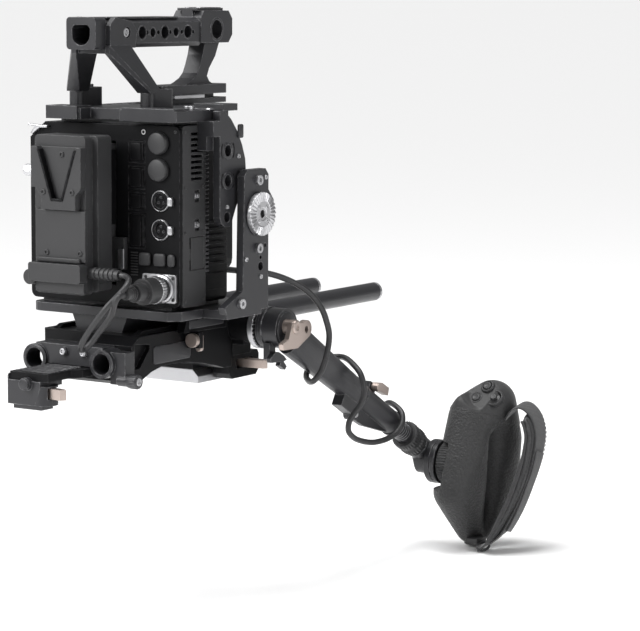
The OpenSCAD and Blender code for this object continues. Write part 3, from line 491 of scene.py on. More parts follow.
class RigColours(bpy.types.PropertyGroup):
    """Colours of the finishes."""

    metal: bpy.props.FloatVectorProperty(
        name="Black anodising", description="Colour of the anodised parts", subtype="COLOR", size=4,
        default=(0.017, 0.017, 0.019, 1))
    plastic: bpy.props.FloatVectorProperty(
        name="Dark plastic", description="Colour of the moulded parts", subtype="COLOR", size=4,
        default=(0.022, 0.022, 0.023, 1))
    skin: bpy.props.FloatVectorProperty(
        name="Grip skin", description="Colour of the grip's pebbled skin", subtype="COLOR", size=4,
        default=(0.010, 0.010, 0.0105, 1))
    tan: bpy.props.FloatVectorProperty(
        name="Lever", description="Colour of the warm grey levers", subtype="COLOR", size=4,
        default=(0.36, 0.30, 0.27, 1))


class RigPiece:
    """Shared by the operators that add pieces."""

    bl_options = {"REGISTER", "UNDO"}

    @property
    def sizes(self):
        return bpy.context.scene.rig_sizes


class RIG_OT_finishes(RigPiece, bpy.types.Operator):
    """Make every finish and put the right one on each of the frame's parts"""

    bl_idname = "rig.finishes"
    bl_label = "Finishes"

    def execute(self, context):
        colours = context.scene.rig_colours
        machined, leather, weave = machined_group(), leather_group(), weave_group()
        # Each finish's second colour is painted on its rounded edges: partly edge scuffing, partly a painted highlight
        # standing in for the light the edges catch.
        scuffed_and_lit_edge = (0.42, 0.42, 0.43, 1)
        def hard(name, colour, edge, rough, grain, depth, scuff_and_highlight, uneven, **shader):
            finish(name, machined, {"Colour": colour, "Edge colour": edge, "Roughness": rough, "Grain scale": grain,
                                    "Grain depth": depth, "Wear": scuff_and_highlight, "Unevenness": uneven}, **shader)
        grey = (0.10, 0.10, 0.105, 1)
        hard("black_paint", (0.004, 0.004, 0.0045, 1), grey, 0.4, 1800.0, 0.00003, 0.8, 0.3, specular=0.1)
        hard("black_anodised", tuple(colours.metal), (0.3, 0.3, 0.31, 1), 0.34, 3200.0, 0.00002, 1.0, 0.5, metallic=0.1, specular=0.4)
        hard("dark_plastic", tuple(colours.plastic), (0.12, 0.12, 0.12, 1), 0.46, 1500.0, 0.00005, 0.8, 0.4, specular=0.35)
        hard("silver_metal", (0.40, 0.40, 0.41, 1), (0.6, 0.6, 0.6, 1), 0.34, 2500.0, 0.00001, 0.4, 0.35, metallic=0.95)
        hard("tan_metal", tuple(colours.tan), (0.66, 0.6, 0.55, 1), 0.34, 2800.0, 0.00002, 0.5, 0.3, metallic=0.8)
        hard("cable_rubber", (0.018, 0.018, 0.019, 1), (0.05, 0.05, 0.05, 1), 0.4, 900.0, 0.00002, 0.2, 0.5, specular=0.4)
        hard("circuit_board", (0.006, 0.09, 0.035, 1), (0.3, 0.25, 0.08, 1), 0.3, 400.0, 0.00008, 0.5, 0.6)
        hard("sensor_glass", (0.01, 0.012, 0.03, 1), (0.1, 0.1, 0.12, 1), 0.08, 300.0, 0.000002, 0.1, 0.2, coat=1.0)
        hard("white_mark", (0.6, 0.6, 0.6, 1), scuffed_and_lit_edge, 0.45, 2000.0, 0.00001, 0.2, 0.2)
        skin = {"Colour": tuple(colours.skin), "Scale": 620.0, "Depth": 0.0006}
        add_plain_area(finish("grip_rubber", leather, skin, sheen=0.15))
        finish("strap_leather", leather, {"Colour": (0.02, 0.02, 0.021, 1), "Scale": 1500.0, "Depth": 0.0001}, sheen=0.1)
        finish("strap_fabric", weave, {"Colour": (0.018, 0.018, 0.019, 1)}, sheen=0.3)
        for row in frame["record"]["subparts"]:
            node = NODES[row["node"]]
            if not node.material_slots:
                node.data.materials.append(None)
            for holder in node.material_slots:
                holder.material = MATERIALS[row["material_slot"]]
        return {"FINISHED"}


class RIG_OT_cables(RigPiece, bpy.types.Operator):
    """Lay the power cable and the grip's cable along their routes, with the grip cable's gland and boot"""

    bl_idname = "rig.cables"
    bl_label = "Cables"

    def execute(self, context):
        radius = self.sizes.cable_d / 2
        line = smooth_line(POWER_ROUTE)
        power = piece("power_lead", [tube(line, radius, ends=1.0)], "cable_rubber")
        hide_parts("power_cable")
        radius = self.sizes.grip_cable_d / 2
        line_a, line_b = smooth_line(GRIP_ROUTE_A), smooth_line(GRIP_ROUTE_B)
        lead_a = mesh_object("grip_lead_hub", [tube(line_a, radius, ends=1.0)], "cable_rubber")
        lead_b = mesh_object("grip_lead_arm", [tube(line_b, radius, ends=1.0)], "cable_rubber")
        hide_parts("grip_cable_a")
        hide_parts("grip_cable_b")
        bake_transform(lead_a)
        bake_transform(lead_b)
        gland = [(-1, 2.4), (0, 5), (2.2, 5), (2.6, 4.6), (6, 3.6), (11, 2.5), (11.2, 2.4)]
        piece("grip_lead_gland", [lathe((57, 104.8, 60), (0.15, 1, 0), gland, 32, ripple=teeth(12, 0.12, 4.7))], "dark_plastic")
        end = np.array(GRIP_ROUTE_B[-1], float)
        boot = [(-4.5, 2.4), (-4.3, 2.9), (-1, 3.6), (0, 4.2), (0.6, 4.2), (0.8, 2.4)]
        piece("grip_lead_boot", [lathe(end, (1, -0.3, 0), boot, 32)], "cable_rubber", "extension")
        return {"FINISHED"}


def hull_reach(normals):
    """How far the grip's balls reach along each direction: the greatest of centre . n + radius."""
    return (GRIP_BALLS[:, :3] @ normals.T + GRIP_BALLS[:, 3:]).max(0)


def grip_skin(rows=190, cols=220):
    """The grip's skin in levels. From a spine point, the skin in a direction d is the nearest of the hull's
    tangent planes, distance = (reach(n) - spine . n) / (n . d), taken over many directions n."""
    k = np.arange(4200) + 0.5
    polar, turn = np.arccos(1 - 2 * k / len(k)), pi * (1 + 5**0.5) * k
    normals = np.stack([np.cos(turn) * np.sin(polar), np.sin(turn) * np.sin(polar), np.cos(polar)], -1)
    reach = hull_reach(normals)
    low = (GRIP_BALLS[:, 2] - GRIP_BALLS[:, 3]).min() + 0.02
    high = (GRIP_BALLS[:, 2] + GRIP_BALLS[:, 3]).max() - 0.02
    level = low + (high - low) * (1 - np.cos(np.linspace(0.03, pi - 0.03, rows))) / 2
    spine = np.stack([np.interp(level, [-170, -110, -71], [122, 127, 129]),
                      np.interp(level, [-170, -110, -71], [381, 386, 398]), level], -1)
    t = np.arange(cols) * 2 * pi / cols
    d = np.stack([np.cos(t), np.sin(t), 0 * t], -1)
    facing = normals @ d.T
    distance = np.empty((rows, cols))
    for i, s in enumerate(spine):
        room = (reach - normals @ s)[:, None]
        distance[i] = np.where(facing > 0.02, room / np.maximum(facing, 0.02), 1e9).min(0)
    for _ in range(3):
        distance[1:-1] = 0.5 * distance[1:-1] + 0.25 * (distance[2:] + distance[:-2])
        distance = 0.5 * distance + 0.25 * (np.roll(distance, 1, 1) + np.roll(distance, -1, 1))
    return spine[:, None] + distance[..., None] * d[None]


def grip_shape():
    """The skin with its working forms: a channel for the fingers on the strap's side, a seam round the
    raised control pod, and the recess that clears the lock wheel."""
    grid = grip_skin()
    x, y, z = np.moveaxis(grid, -1, 0)
    pod = ease((z + 78 + 0.35 * (y - 380)) / 1.2)
    centre = np.array([127.0, 385.0])
    out = unit(np.stack([x - centre[0], y - centre[1], 0 * z], -1))
    turn = np.arctan2(y - 386, x - 125)
    channel = np.exp(-(((turn + 0.52 - 0.0065 * (z + 128)) / 0.4) ** 2)) * ease((-82 - z) / 18) * ease((z + 184) / 26)
    seam = np.exp(-(((z + 78.6 + 0.35 * (y - 380)) / 0.7) ** 2))
    grid = grid - out * (10.5 * channel + 0.25 * seam - 0.3 * pod)[..., None]
    # the flat, sloping face that carries the thumb controls
    face = THUMB_SPOTS.mean(0)
    above = (grid - face) @ THUMB_AXIS - 0.3
    away = np.linalg.norm(grid - face - ((grid - face) @ THUMB_AXIS)[..., None] * THUMB_AXIS, axis=-1)
    grid = grid - (np.maximum(above, 0) * ease((19 - away) / 6))[..., None] * THUMB_AXIS
    radial = np.hypot(np.maximum(grid[..., 1] - JOINT[1], 0), grid[..., 2] - JOINT[2])
    cleared = ease((18.6 - radial) / 1.2)
    grid[..., 0] += cleared * np.maximum(0, 113.2 - grid[..., 0])
    return grid, pod


class RIG_OT_grip(RigPiece, bpy.types.Operator):
    """Build the side grip: pebbled body, control pod, buttons, joystick, joint disc and lock wheel"""

    bl_idname = "rig.grip"
    bl_label = "Side grip"

    def execute(self, context):
        grid, pod = grip_shape()
        body = piece("grip_shell", [solid(grid)], "grip_rubber", "grip", sharp=50)
        mark = body.data.attributes.new("plain_area", "FLOAT", "POINT")
        mark.data.foreach_set("value", pod.reshape(-1).astype(np.float32))
        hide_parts("grip_body")
        disc_profile = [(0.3, 5.2), (0.3, 17.6), (0.7, 18), (3.8, 18), (4.3, 17.4), (4.3, 5.2)]
        axle = [(-4.8, 0.05), (-4.8, 4.6), (-4.4, 5), (18.6, 5), (19, 4.6), (19, 0.05)]
        piece("grip_joint", [lathe(JOINT, X, disc_profile, 96, hole=True), lathe(JOINT, X, axle)], "black_anodised", "grip")
        wheel = [(5.4, 5.1), (5.4, 15.6), (6.2, 16.9), (7.0, 17.1), (13.6, 17.1), (14.4, 16.9), (15.2, 15.6), (15.2, 5.1)]
        lock = piece("grip_wheel_knurled", [lathe(JOINT, X, wheel, 240, hole=True, ripple=teeth(48, 0.4, 16.0))],
                     "dark_plastic", "grip_wheel")
        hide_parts("grip_wheel")
        self.controls()
        foot = [(-0.6, 0.05), (-0.6, 7.5), (0.4, 7.2), (0.8, 6.4), (0.8, 0.05)]
        piece("grip_foot_cap", [lathe((122, 381, -185.4), -Z, foot, 40)], "dark_plastic", "grip")
        return {"FINISHED"}

    def controls(self):
        """Two domed thumb buttons with a dished top, a joystick under a hat, and their bezels."""
        bezels = []
        for spot, r in zip(THUMB_SPOTS, (4.0, 4.0, 5.9)):
            rim = [(-2.5, r), (0.5, r), (0.9, r + 0.3), (1.0, r + 0.8), (0.6, r + 1.5), (-1.0, r + 2.0), (-2.5, r + 1.8)]
            bezels.append(lathe(spot, THUMB_AXIS, rim, 56, hole=True))
        piece("thumb_bezels", bezels, "dark_plastic", "grip")
        cap = [(-3, 0.05), (-3, 3.6), (0.9, 3.6), (1.5, 3.2), (1.7, 2.4), (1.2, 1.2), (1.1, 0.05)]
        for number, spot in enumerate(THUMB_SPOTS[:2], 1):
            button = piece(f"thumb_cap_{number}", [lathe(spot, THUMB_AXIS, cap)], "dark_plastic", f"thumb_button_{number}")
            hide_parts(f"thumb_button_{number}")
        hat = [(-2, 0.05), (-2, 4.6), (-0.9, 4.6), (-0.3, 2.2), (0.9, 1.6), (1.3, 2.6), (1.9, 2.8), (2.5, 2.2), (2.3, 1.2), (2.2, 0.05)]
        stick = piece("joystick_hat", [lathe(THUMB_SPOTS[2], THUMB_AXIS, hat, 72, ripple=teeth(24, 0.09, 2.7))],
                      "cable_rubber", "joystick")
        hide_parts("joystick")


def inflate(obj, voxel, pressure, cap):
    """Swells a closed pad with cloth simulation, then lets no point move further than cap from where it was."""
    remesh = obj.modifiers.new("even", "REMESH")
    remesh.mode = "VOXEL"
    remesh.voxel_size = voxel
    bake_modifiers(obj)
    rest = mesh_points(obj.data)
    cloth = obj.modifiers.new("swell", "CLOTH")
    cloth.settings.use_pressure = True
    cloth.settings.uniform_pressure_force = pressure
    cloth.settings.quality = 6
    cloth.settings.effector_weights.gravity = 0
    cloth.point_cache.frame_start, cloth.point_cache.frame_end = 1, 20
    for step in range(1, 21):
        bpy.context.scene.frame_set(step)
    moved = mesh_points(obj.evaluated_get(bpy.context.evaluated_depsgraph_get()).data)
    obj.modifiers.remove(cloth)
    bpy.context.scene.frame_set(1)
    shift = moved - rest
    length = np.linalg.norm(shift, axis=1, keepdims=True)
    shift *= np.minimum(1, cap / np.maximum(length, 1e-9))
    obj.data.vertices.foreach_set("co", (rest + shift).astype(np.float32).reshape(-1))
    obj.data.update()


def mesh_points(mesh):
    co = np.empty(len(mesh.vertices) * 3, np.float32)
    mesh.vertices.foreach_get("co", co)
    return co.reshape(-1, 3).astype(float)


def bake_modifiers(obj):
    """Puts the result of the live modifiers into the object's own mesh."""
    made = bpy.data.meshes.new_from_object(obj.evaluated_get(bpy.context.evaluated_depsgraph_get()))
    obj.modifiers.clear()
    obj.data = made
    made.shade_smooth()


class RIG_OT_strap(RigPiece, bpy.types.Operator):
    """Make the hand strap: a padded leather pad swollen by simulation, webbing, lugs, piping, stitches and a tab"""

    bl_idname = "rig.strap"
    bl_label = "Hand strap"

    def execute(self, context):
        line = smooth_line(STRAP_LINE, 8)
        across = np.array([0, 1, 0.2])
        s = np.linspace(0, 1, len(line))
        inner = slice(19, -6)
        pad_line = line[inner]
        u = np.linspace(0, 1, len(pad_line))
        width = self.sizes.pad_width * (0.62 + 0.38 * np.sin(pi * np.clip(u * 0.8 + 0.16, 0, 1)) ** 0.6)
        thick = self.sizes.pad_thick / 2 * (0.45 + 0.55 * np.sin(pi * u) ** 0.4)
        pad = mesh_object("strap_pad", [band(pad_line, across, width - 1.0, thick, 0.75, 40)], "strap_leather")
        inflate(pad, 0.003, 4.0, 0.0018)
        pad.modifiers.new("soft", "SUBSURF").levels = 1
        pad.modifiers["soft"].render_levels = 1
        pad.data.materials.clear()
        pad.data.materials.append(MATERIALS["strap_leather"])
        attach(pad, "grip")
        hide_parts("hand_strap")
        self.webbing(line, across)
        self.edges(pad_line, across, width, thick)
        self.lugs()
        return {"FINISHED"}

    def webbing(self, line, across):
        """A long thin strap over the pad's outer face, and a hook-and-loop tab that stands off its lower half."""
        heading = unit(np.gradient(line, axis=0))
        out = np.cross(heading, unit(across - heading * (heading @ across)[:, None]))
        lift = 5.4 * ease(np.linspace(0, 1, len(line)) * 6 - 0.4) * ease(6 - np.linspace(0, 1, len(line)) * 6.2)
        piece("strap_webbing", [band(line + out * lift[:, None], across, 8.5, 0.8, 0.4)], "strap_fabric", "grip")
        part = line[38:66]
        rise = 6.6 + 1.2 * ease(np.linspace(-0.6, 1, len(part)))
        piece("strap_tab", [band(part + out[38:66] * rise[:, None], across, 7.2, 0.8, 0.4)], "strap_fabric", "grip")

    def edges(self, line, across, width, thick):
        """Piping along both edges of the pad, and a row of stitches inside each."""
        heading = unit(np.gradient(line, axis=0))
        side = unit(across - heading * (heading @ across)[:, None])
        out = np.cross(heading, side)
        piping, stitches = [], []
        for sign in (-1, 1):
            piping.append(tube((line + sign * (width * 0.9)[:, None] * side)[3:-3], 1.1, 10))
            seam = line + sign * (width * 0.72)[:, None] * side + (thick * 1.0 + 0.55)[:, None] * out
            length = np.concatenate([[0], np.cumsum(np.linalg.norm(np.diff(seam, axis=0), axis=1))])
            for start in np.arange(4, length[-1] - 6, 3.6):
                at = np.stack([np.interp(start + np.linspace(0, 2.4, 4), length, seam[:, k]) for k in range(3)], -1)
                stitches.append(tube(at, 0.3, 6))
        piece("strap_piping", piping, "strap_leather", "grip")
        piece("strap_stitches", stitches, "cable_rubber", "grip")

    def lugs(self):
        """A wire loop at each end of the strap, held by a small block on the grip."""
        t = np.linspace(0, 2 * pi, 41)
        loops, blocks = [], []
        for centre, out, tall in (((143.5, 398, -84), (0.35, 0, 0.94), 3.4), ((138.5, 368, -184), (0.55, -0.1, -0.83), 3.4)):
            centre, out = np.array(centre, float), unit(out)
            loop = centre + (9.5 * np.cos(t))[:, None] * Y + (tall * np.sin(t))[:, None] * out
            grid_line = loop[:-1]
            heading = unit(np.roll(grid_line, -1, 0) - np.roll(grid_line, 1, 0))
            side = unit(np.cross(heading, np.cross(Y, out)))
            a = np.arange(10) * 2 * pi / 10
            ring = np.cos(a)[None, :, None] * side[:, None] + np.sin(a)[None, :, None] * np.cross(heading, side)[:, None]
            loops.append(solid(grid_line[:, None] + 1.1 * ring, around=True))
        blocks.append(slab(round_rect((390, -92), (406, -84.5), 2), 0, 137, 145.5, 0.8))
        blocks.append(slab(round_rect((360, -183), (376, -177), 2), 0, 126, 137, 0.8))
        piece("strap_loops", loops, "black_anodised", "grip")
        piece("strap_blocks", blocks, "dark_plastic", "grip")


class RIG_OT_rosettes(RigPiece, bpy.types.Operator):
    """Cut the toothed discs with their radial teeth, and set the ring and cap of the arm's hub"""

    bl_idname = "rig.rosettes"
    bl_label = "Toothed discs"

    def execute(self, context):
        def radial(t, along, radius):
            wave = np.abs(((t * 30 / pi) % 2) - 1)
            rise = np.where((along > 4.4) & (radius > 9.5), 1.4 * (wave - 0.5) * (radius / 16), 0)
            return along + rise, radius
        face = [(0.02, 3.0), (0.02, 15.2), (0.6, 15.9), (4.0, 15.9), (4.45, 15.6), (4.6, 12.6), (4.6, 9.8), (4.2, 9.2), (4.2, 5.0), (3.6, 4.4), (3.6, 3.0)]
        discs = []
        for spot in (ROSETTE, HUB):
            discs.append(lathe(spot, X, face, 480, hole=True, ripple=radial))
        obj = piece("rosette_discs", discs, "silver_metal", sharp=25)
        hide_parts("rosettes")
        screws = []
        for k in range(4):
            turn = radians(45 + 90 * k)
            spot = ROSETTE + np.array([4.0, 7.0 * cos(turn), 7.0 * sin(turn)])
            screws.append(star_screw(spot, X, 1.5, 0.7))
        piece("rosette_screws", screws, "silver_metal")
        band_profile = [(0.2, 15.95), (0.2, 16.3), (4.6, 16.3), (4.6, 15.95)]
        piece("hub_line", [lathe(HUB, X, band_profile, 72, hole=True)], "silver_metal", "arm")
        cap = [(24.9, 0.05), (24.9, 12.4), (25.4, 12.8), (25.7, 12.2), (25.7, 6.4), (25.2, 6.0), (25.2, 0.05)]
        piece("hub_cap", [lathe(HUB, X, cap, 64)], "black_anodised", "arm")
        return {"FINISHED"}


class RIG_OT_screws(RigPiece, bpy.types.Operator):
    """Put a screw in each of the cage's, panel's, handle's and baseplate's holes"""

    bl_idname = "rig.screws"
    bl_label = "Screws"

    def execute(self, context):
        r = self.sizes.screw_r
        rear = [(-2.6, -1.55, 147.6), (-16, -6.02, 120.9), (9.6, -6.02, 121.2), (-16, -2.52, 77.5), (13.8, -2.52, 78)]
        panel = [(-59, 40.02, 46), (-59, 40.02, 146), (62, 40.02, 44), (66.5, 40.02, 164), (41.6, 37.98, 44.6),
                 (41.6, 37.98, 60), (65.6, 37.98, 44.6), (65.6, 37.98, 60)]
        shapes = [star_screw(p, -Y, r, 0.9) for p in rear] + [star_screw(p, -Y, 1.3, 0.6) for p in panel]
        shapes += [star_screw((69.98, y, z), X, 1.2, 0.6) for y in (47, 69) for z in (43, 92, 124, 164)]
        piece("body_screws", shapes, "dark_plastic")
        bright = [hex_screw((-9.5, 34, 12.0 + 1.2), -Y, 2.4, 1.8), hex_screw((-4, 0.05, 6.5), -Y, 2.4, 1.2),
                  hex_screw((14, 0.05, 6.5), -Y, 2.4, 1.2)]
        bright += [hex_screw((93.02, y, z), X, 1.7, 1.0) for y, z in ((115, 129), (90, 71), (109, 57))]
        bright += [hex_screw((84.02, 93, 145), X, 1.7, 1.0), hex_screw((84.02, 79, 109.2), X, 1.5, 0.9)]
        bright += [hex_screw((x, 50, 233), X * np.sign(x), 3.4, 1.4) for x in (-15.02, 15.02)]
        bright += [hex_screw((72, 74, 177), -Y, 3.0, 2.4)]
        bright += [hex_screw((x, 156, z), Z, 2.2, 0.6) for x, z in ((-5, 250.02), (5, 250.02))]
        piece("rig_screws", bright, "silver_metal")
        dark = [hex_screw((x, y, 192.5), Z, 2.6, 2.2) for x in (-32, 32) for y in (70,)]
        dark += [hex_screw((x, y, 17.75), Z, 2.6, 1.6) for x in (-28, 28) for y in (50, 124)]
        dark += [hex_screw((s * 42, y, 20), X * s, 2.2, 1.2) for s in (-1, 1) for y in (158, 180)]
        dark += [hex_screw((-42 + 3, y, 36.02), Z, 2.4, 1.2) for y in (60, 120)]
        piece("frame_screws", dark, "black_anodised")
        pins = [lathe((83, 150, 14) + ARM * a + ARM_UP * u, X, [(lo, 0.05), (lo, 2.4), (lo + 0.5, 2.6), (hi - 0.5, 2.6), (hi, 2.4), (hi, 0.05)], 32)
                for a, u, lo, hi in ((126.5, -17.5, -4.8, 5.8),)]
        piece("arm_pins", pins, "silver_metal", "arm")
        return {"FINISHED"}


class RIG_OT_rear_panel(RigPiece, bpy.types.Operator):
    """Dress the rear panel: ribbed caps, socket collars and latches, door seals and the plug's collar"""

    bl_idname = "rig.rear_panel"
    bl_label = "Rear panel"

    def execute(self, context):
        caps = []
        for x, z in ((52.6, 155.7), (52.6, 136.5)):
            profile = [(0, 0.05), (0, 8.0), (1.2, 8.2), (3.0, 8.0), (4.0, 7.4), (4.4, 6.4), (4.3, 0.05)]
            caps.append(lathe((x, 39.99, z), -Y, profile, 72, ripple=teeth(36, 0.07, 7.7)))
        for low, high in (((35.5, 67.8), (45.5, 77.2)), ((48.4, 67.8), (58.6, 77.2)), ((60.5, 68), (66.5, 77))):
            caps.append(slab(round_rect(low, high, 2.4), 1, 37.2, 39.99, 1.1))
        obj = piece("terminal_covers", caps, "dark_plastic")
        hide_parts("terminal_caps")
        collars, latches, pins, inserts = [], [], [], []
        for x, z in ((53.8, 114.6), (53.8, 94)):
            rim = [(0, 6.98), (1.6, 6.98), (1.75, 7.1), (1.6, 7.4), (0.4, 7.7), (0, 7.7)]
            collars.append(lathe((x, 40.2, z), -Y, rim, 56, hole=True))
            latches.append(slab(round_rect((x + 7.2, z - 3.4), (x + 11.4, z + 3.0), 1.2), 1, 36.6, 40.0, 0.7))
            inserts.append(lathe((x, 46.9, z), -Y, [(0, 0.05), (0, 4.95), (6.4, 4.95), (6.8, 4.5), (6.8, 0.05)], 48))
            inserts.append(lathe((x, 38.85, z), -Y, [(0, 4.9), (0, 6.9), (0.4, 6.8), (0.6, 5.4), (0.3, 4.9)], 48, hole=True))
            for k in range(3):
                turn = radians(90 + 120 * k)
                spot = (x + 2.5 * cos(turn), 40.12, z + 2.5 * sin(turn))
                pins.append(lathe(spot, -Y, [(0, 0.6), (0, 1.1), (0.3, 1.1), (0.4, 0.8), (0.4, 0.6)], 20, hole=True))
        piece("socket_collars", collars, "silver_metal")
        piece("socket_inserts", inserts, "black_paint")
        piece("socket_latches", latches, "silver_metal")
        piece("socket_pins", pins, "black_anodised")
        ring = [(0.1, 8.2), (2.4, 8.2), (2.4, 9.0), (1.8, 10.2), (0.1, 10.4)]
        nut = [(0, 6.8), (0, 9.2), (0.6, 9.7), (4.8, 9.7), (5.4, 9.2), (5.4, 6.8)]
        piece("power_socket_ring", [lathe((56, 38, 52), -Y, ring, 64, hole=True),
                                    lathe((56, 31.5, 52), -Y, nut, 120, hole=True, ripple=teeth(30, 0.3, 9.0))], "silver_metal")
        boot = []
        for k in range(5):
            y = 3.4 - 2.1 * k
            r = 5.0 - 0.45 * k
            boot.append(lathe((56, y, 52), -Y, [(0, 2.0), (0, r - 0.3), (0.5, r), (1.1, r), (1.5, r - 0.4), (1.5, 2.0)], 32, hole=True))
        piece("plug_boot", boot, "cable_rubber")
        self.doors()
        mark = lathe((38.6, 40.05, 163.1), -Y, [(0, 1.2), (0, 1.8), (0.2, 1.8), (0.25, 1.2)], 32, hole=True)
        piece("panel_marks", [mark], "white_mark")
        tag = [slab(round_rect((18.6, 64.6), (24, 79), 0.6), 1, 35.4, 36.1, 0.3)]
        piece("adapter_tag", tag, "silver_metal")
        ribs = [slab(round_rect((27.2, z), (33.6, z + 1.0), 0.4), 1, 39.3, 40.1, 0.3) for z in np.arange(60, 77, 2.0)]
        piece("panel_ribs", ribs, "dark_plastic")
        return {"FINISHED"}

    def doors(self):
        """A raised pad and a finger ridge on each rubber door; each rides on its own door."""
        for name, low, high in (("usb_door", 141.5, 156.5), ("headphone_door", 122.5, 138.5),
                                ("mic_door", 107.5, 119.5), ("hdmi_door", 80, 104.5)):
            pad = slab(round_rect((27.2, low + 1.3), (36.4, high - 1.3), 1.2), 1, 39.35, 40.05, 0.3)
            grip = slab(round_rect((37.4, low + 1.8), (39.0, high - 1.8), 0.7), 1, 38.9, 40.05, 0.4)
            piece(name + "_pad", [pad, grip], "black_paint", name)


class RIG_OT_battery_plate(RigPiece, bpy.types.Operator):
    """Dress the battery plate: contact pins, ribbed shoulders, a black band of painted shade along the wedge pocket's
    walls, and the pocket's catch
    """

    bl_idname = "rig.battery_plate"
    bl_label = "Battery plate"

    def execute(self, context):
        slots = [slab(round_rect((x, 69.2), (x + 4.2, 70.6), 0.4), 1, -8.9, -5.5, 0.2) for x in np.arange(-20, 12, 6.0)]
        piece("battery_contacts", slots, "black_paint")
        bar = slab(round_rect((-24, 70.9), (14.5, 74.2), 0.8), 1, -4.4, -2.0, 0.5)
        piece("battery_bar", [bar], "dark_plastic")
        # Painted shade: a thin black band along the wedge pocket's walls stands in for the shadow in the pocket's
        # channel.
        wedge = np.array([(-21.2, 151.2), (-9.1, 114.8), (1.1, 114.8), (13.2, 151.2), (11.6, 151.2), (0.1, 116.2),
                          (-8.1, 116.2), (-19.6, 151.2)])[::-1]
        pocket_shade_band = slab(wedge, 1, -6.5, -1.55, 0.2)
        piece("wedge_pocket_shade", [pocket_shade_band], "black_paint")
        knob = [(-49.2 + 38, 0.05), (-49.2 + 38, 3.4), (-10.6, 4.2), (-1.2, 4.3), (-0.6, 3.9), (-0.2, 2.2), (-0.2, 0.05)]
        turned = lathe((-38, 16, 134), X, knob, 96, ripple=teeth(24, 0.12, 4.0))
        rod = lathe((-38.5, 16, 134), X, [(0, 0.05), (0, 2), (14.4, 2), (14.4, 0.05)], 32)
        knob = piece("release_button", [turned, rod], "silver_metal", "release_knob")
        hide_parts("release_knob")
        seams = [slab(round_rect((-29.8, z), (22.2, z + 0.5), 0.2), 1, 9.4, 23.2, 0.1) for z in (56,)]
        seams += [slab(round_rect((13.5, 96), (14.0, 150), 0.2), 1, 10, 40, 0.1)]
        piece("adapter_seams", seams, "black_paint")
        return {"FINISHED"}


class RIG_OT_lens_front(RigPiece, bpy.types.Operator):
    """Fit the front: a winged lens-lock ring, throat baffles, the sensor's window, screws and a tape hook"""

    bl_idname = "rig.lens_front"
    bl_label = "Lens front"

    def execute(self, context):
        def wings(t, along, radius):
            lobe = np.maximum(0, np.cos(3 * t)) ** 6
            return along, radius + np.where(radius > 31.5, 3.2 * lobe, 0)
        lock = [(2.4, 30.9), (2.4, 33.0), (3.0, 33.6), (6.6, 33.6), (7.2, 33.0), (7.2, 30.9)]
        piece("lens_lock_ring", [lathe((0, 151, 102), Y, lock, 180, hole=True, ripple=wings)], "black_anodised")
        flange = [(0, 27.05), (0, 30.6), (8.1, 30.6), (8.3, 30.2), (8.3, 27.5), (8.0, 27.05)]
        piece("lens_flange", [lathe((0, 150.5, 102), Y, flange, 128, hole=True)], "silver_metal")
        baffles = [lathe((0, y, 102), Y, [(0, r), (0, 28.6), (0.8, 28.6), (0.8, r + 0.4)], 72, hole=True)
                   for y, r in ((146, 25.5), (141, 24.5), (136, 23.5))]
        piece("throat_baffles", baffles, "black_paint")
        window = [slab(round_rect((-19.5, 90.5), (19.5, 113.5), 1.0), 1, 119.9, 121.2, 0.3)]
        piece("sensor_window", window, "sensor_glass")
        carrier = round_rect((-24, 86), (24, 118), 3)
        piece("sensor_frame", [slab(carrier, 1, 116.05, 119.9, 0.6)], "black_paint")
        spots = [(-40, 150.02, 60), (34, 150.02, 60), (-40, 150.02, 144), (34, 150.02, 144)]
        piece("front_screws", [star_screw(p, Y, 1.8, 0.7) for p in spots], "silver_metal")
        hook = [lathe((44, 105, 154), Y, [(-0.5, 0.05), (-0.5, 3), (1.5, 3), (2, 2), (5, 2), (5.6, 4), (7, 4), (7.4, 3.4), (7.4, 0.05)], 40)]
        piece("tape_hook", hook, "black_anodised")
        lamp = [slab(disc((-52, 156), 2.2), 1, 104.6, 105.8, 0.5)]
        piece("tally_window", lamp, "sensor_glass")
        return {"FINISHED"}


